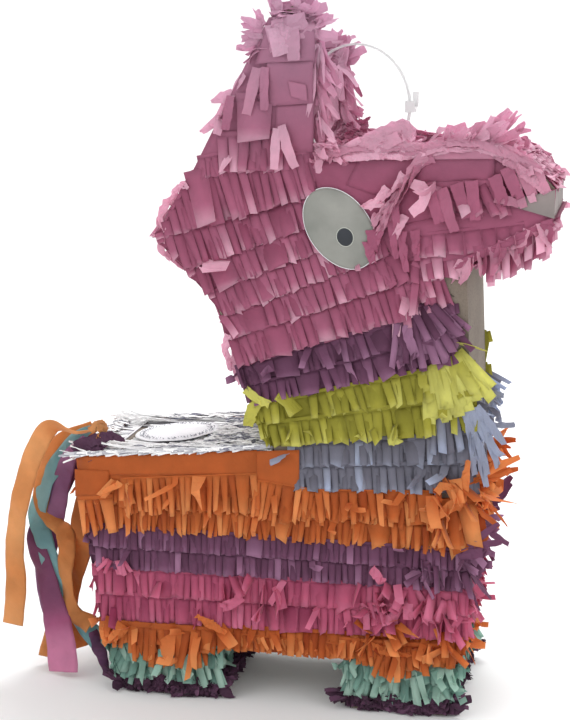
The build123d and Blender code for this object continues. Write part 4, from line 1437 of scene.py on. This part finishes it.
# plain dots in three rings, which stand in for the label's printing
dots = Sheets(11)
corner = np.array([-1.0, 1.0])
square = corner[:, None, None] * label_along + corner[None, :, None] * LEFT
for radius, count, size in ((24.5, 74, 0.75), (22.6, 52, 1.0), (20.6, 64, 0.6)):
    angle = np.linspace(0, 2 * math.pi, count, endpoint=False) + dots.rng.normal(0, 0.02, count)
    kept = dots.rng.random(count) < 0.8
    spot = (np.cos(angle)[:, None] * label_along + np.sin(angle)[:, None] * LEFT)[kept] * radius
    spot = spot * dots.rng.normal(1, 0.012, (len(spot), 1)) + label_centre + label_up * 1.9
    half = size * dots.rng.uniform(0.6, 1.3, (len(spot), 1, 1, 1)) / 2
    dots.add((spot[:, None, None] + square * half) * MM, 0.5, smooth=False)
dot_ring = dots.build("label_dots", "dot_ink")
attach(dot_ring, "flap")

# ---------------------------------------------------------------- eyes

EDGE = 0.9               # how much larger the edge is that shows round an eye and a pupil
for side, name in SIDES:
    out = np.array([0.0, side, 0.0])
    # name, its paper, the CAD's node, its oval, from the middle plane, growth, height, thickness, warp and seed
    for kind, paper, node, oval, y, more, *shape in (
            ("eye_edge", "label_paper", None, EYE, 52.3, EDGE, 0.0, 0.15, 0.5, 5 + side),
            ("eye_paper", "grey_paper", f"{name}_eye", EYE, 52.4, 0, 0.0, 0.4, 0.5, 5 + side),
            ("pupil_edge", "pale_paper", None, PUPIL, 52.4, EDGE, 0.75, 0.2, 0, 6),
            ("pupil_paper", "dark_paper", f"{name}_pupil", PUPIL, 52.4, 0, 0.95, 0.3, 0, 7)):
        (x, z), (long, high) = oval["centre"], oval["size"]
        disc(f"{name}_{kind}", paper, node, (x, side * y, z), (long + more, high + more), oval["turn"], out,
             *shape)

# ---------------------------------------------------------------- tail

STREAMERS = {
    # node: for each strand its distance to the right at the top and the bottom, its width, its line from
    # the root down, its tones (painted light and shade) and turns from the root down, and its taper where that
    # isn't PLAIN_TAPER
    "tail_orange_long": [
        (44, 44, 13, [(-108, 172), (-124, 169), (-140, 172), (-151, 157), (-159, 136), (-165, 112),
                      (-168, 88), (-168, 60), (-171, 36)], (0.9, 0.8), (80, 60, 8, 0, -8, 8, 0))],
    "tail_pink": [
        (14, 40, 13, [(-121, 162), (-133, 149), (-142, 128), (-152, 110), (-159, 90), (-152, 67), (-146, 47),
                      (-141, 27), (-138, 4)], (0, 0, 0, 0.1, 0.5, 1), (30, 10, 25, -10, 12, -20),
         (0.75, 1, 1, 1.2, 1.9))],
    "tail_teal": [
        (26, 30, 12, [(-116, 170), (-128, 162), (-139, 148), (-150, 132), (-158, 108), (-154, 94), (-150, 78),
                      (-142, 56), (-129, 37), (-113, 20)], (0.8, 0.5), (70, 20, -30, 20, 12, -20, 30))],
    "tail_orange_short": [
        (22, 34, 12, [(-119, 168), (-143, 156), (-153, 134), (-154, 115), (-147, 104), (-139, 97), (-137, 86),
                      (-138, 68), (-133, 44), (-120, 36)], (0.7, 0.5), (20, -20, 30, 60, 0, -30, 10)),
        (18, 18, 13, [(-142, 74), (-146, 60), (-150, 32), (-156, 5)], (0.5, 0.7), (30, -20, 20)),
        (24, 22, 13, [(-126, 122), (-130, 102), (-129, 84), (-134, 66), (-139, 48), (-138, 30), (-134, 14)],
         (0.15, 0.45, 0.6), (30, -20, 20))],
    "tail_purple": [
        (34, 12, 12, [(-119, 163), (-132, 150), (-139, 134), (-144, 115), (-149, 95), (-157, 70), (-157, 45),
                      (-152, 25), (-150, 8)], (0.8, 0.5), (40, 0, 30, -20, 10)),
        (40, 40, 10, [(-117, 34), (-114, 26), (-111, 17), (-107, 3)], (0.2, 0.1), (40, 30, 20),
         (0.6, 1, 0.3))],
}
PLAIN_TAPER = (0.75, 1, 1, 1, 1.1)


def streamer_sheet(sheets, above, below, width, line, tones, turns, taper=PLAIN_TAPER):
    """One rippled, creased streamer; returns its length, along its middle."""
    planes = np.linspace(above, below, len(line))
    count, columns = 18 * len(line), 9
    grid = ribbon_grid([(x, -plane, z) for (x, z), plane in zip(line, planes)], width, count, columns,
                       twist=turns, cup=0.9, taper=taper)
    along = np.linspace(0, len(line), count)[:, None]
    across = np.linspace(-0.5, 0.5, columns)[None]
    ripple = 0.5 * np.sin(along * 4.4 + below + across * 2) + 0.3 * np.sin(along * 9.1 + across * 5)
    grid = (grid + LEFT * (ripple + creased(sheets.rng, grid, 17, 1.3))[..., None]) * MM
    # the tones paint light and shade along the strand
    tone = spread_over(tones, count) + 0.1 * np.sin(along * 2.3 + below).ravel()
    sheets.add(grid[None], np.clip(tone, 0, 1)[None])
    return float(np.linalg.norm(np.diff(grid[:, columns // 2], axis=0), axis=1).sum())


for node, strands in STREAMERS.items():
    for number, (above, below, width, *rest) in enumerate(strands):
        sheets = Sheets(900 + below + number)
        length = streamer_sheet(sheets, above, below, width, *rest)
        name = node.replace("tail", "streamer") + ("", "_second", "_third")[number]
        piece = sheets.build(name, "streamer_" + node.split("_")[1])
        if number:
            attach(piece, "tail")
        else:
            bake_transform(piece)
            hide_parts(node)

# the knot that the streamers hang from, and the scraps round it
knot = Sheets(77)
for number in range(5):
    strand(knot, [(-112 + number, -50 + 3 * number, 172), (-108, -49 + 2 * number, 176),
                  (-104, -48 + number, 172),
                  (-108 + number, -49, 167)], 5, 0.8, count=18, columns=5, twist=(0, 90), smooth=True)
scraps = Sheets(78)
for points in ([(-122, 160), (-110, 166), (-98, 170), (-88, 168)], [(-124, 157), (-112, 161), (-100, 165)],
               [(-121, 152), (-112, 156), (-104, 162)]):
    strand(scraps, [(x, -49 - 1.5 * n, z) for n, (x, z) in enumerate(points)], 9, 0.6, count=20, columns=5,
           twist=(0, 30, -20), taper=(1, 0.8, 0.4))
for sheets, name, material, node in ((knot, "tail_knot", "streamer_orange", "tail_orange_long"),
                                     (scraps, "tail_scraps", "tissue_plum", "tail_purple")):
    piece = sheets.build(name, material)
    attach(piece, "shell")
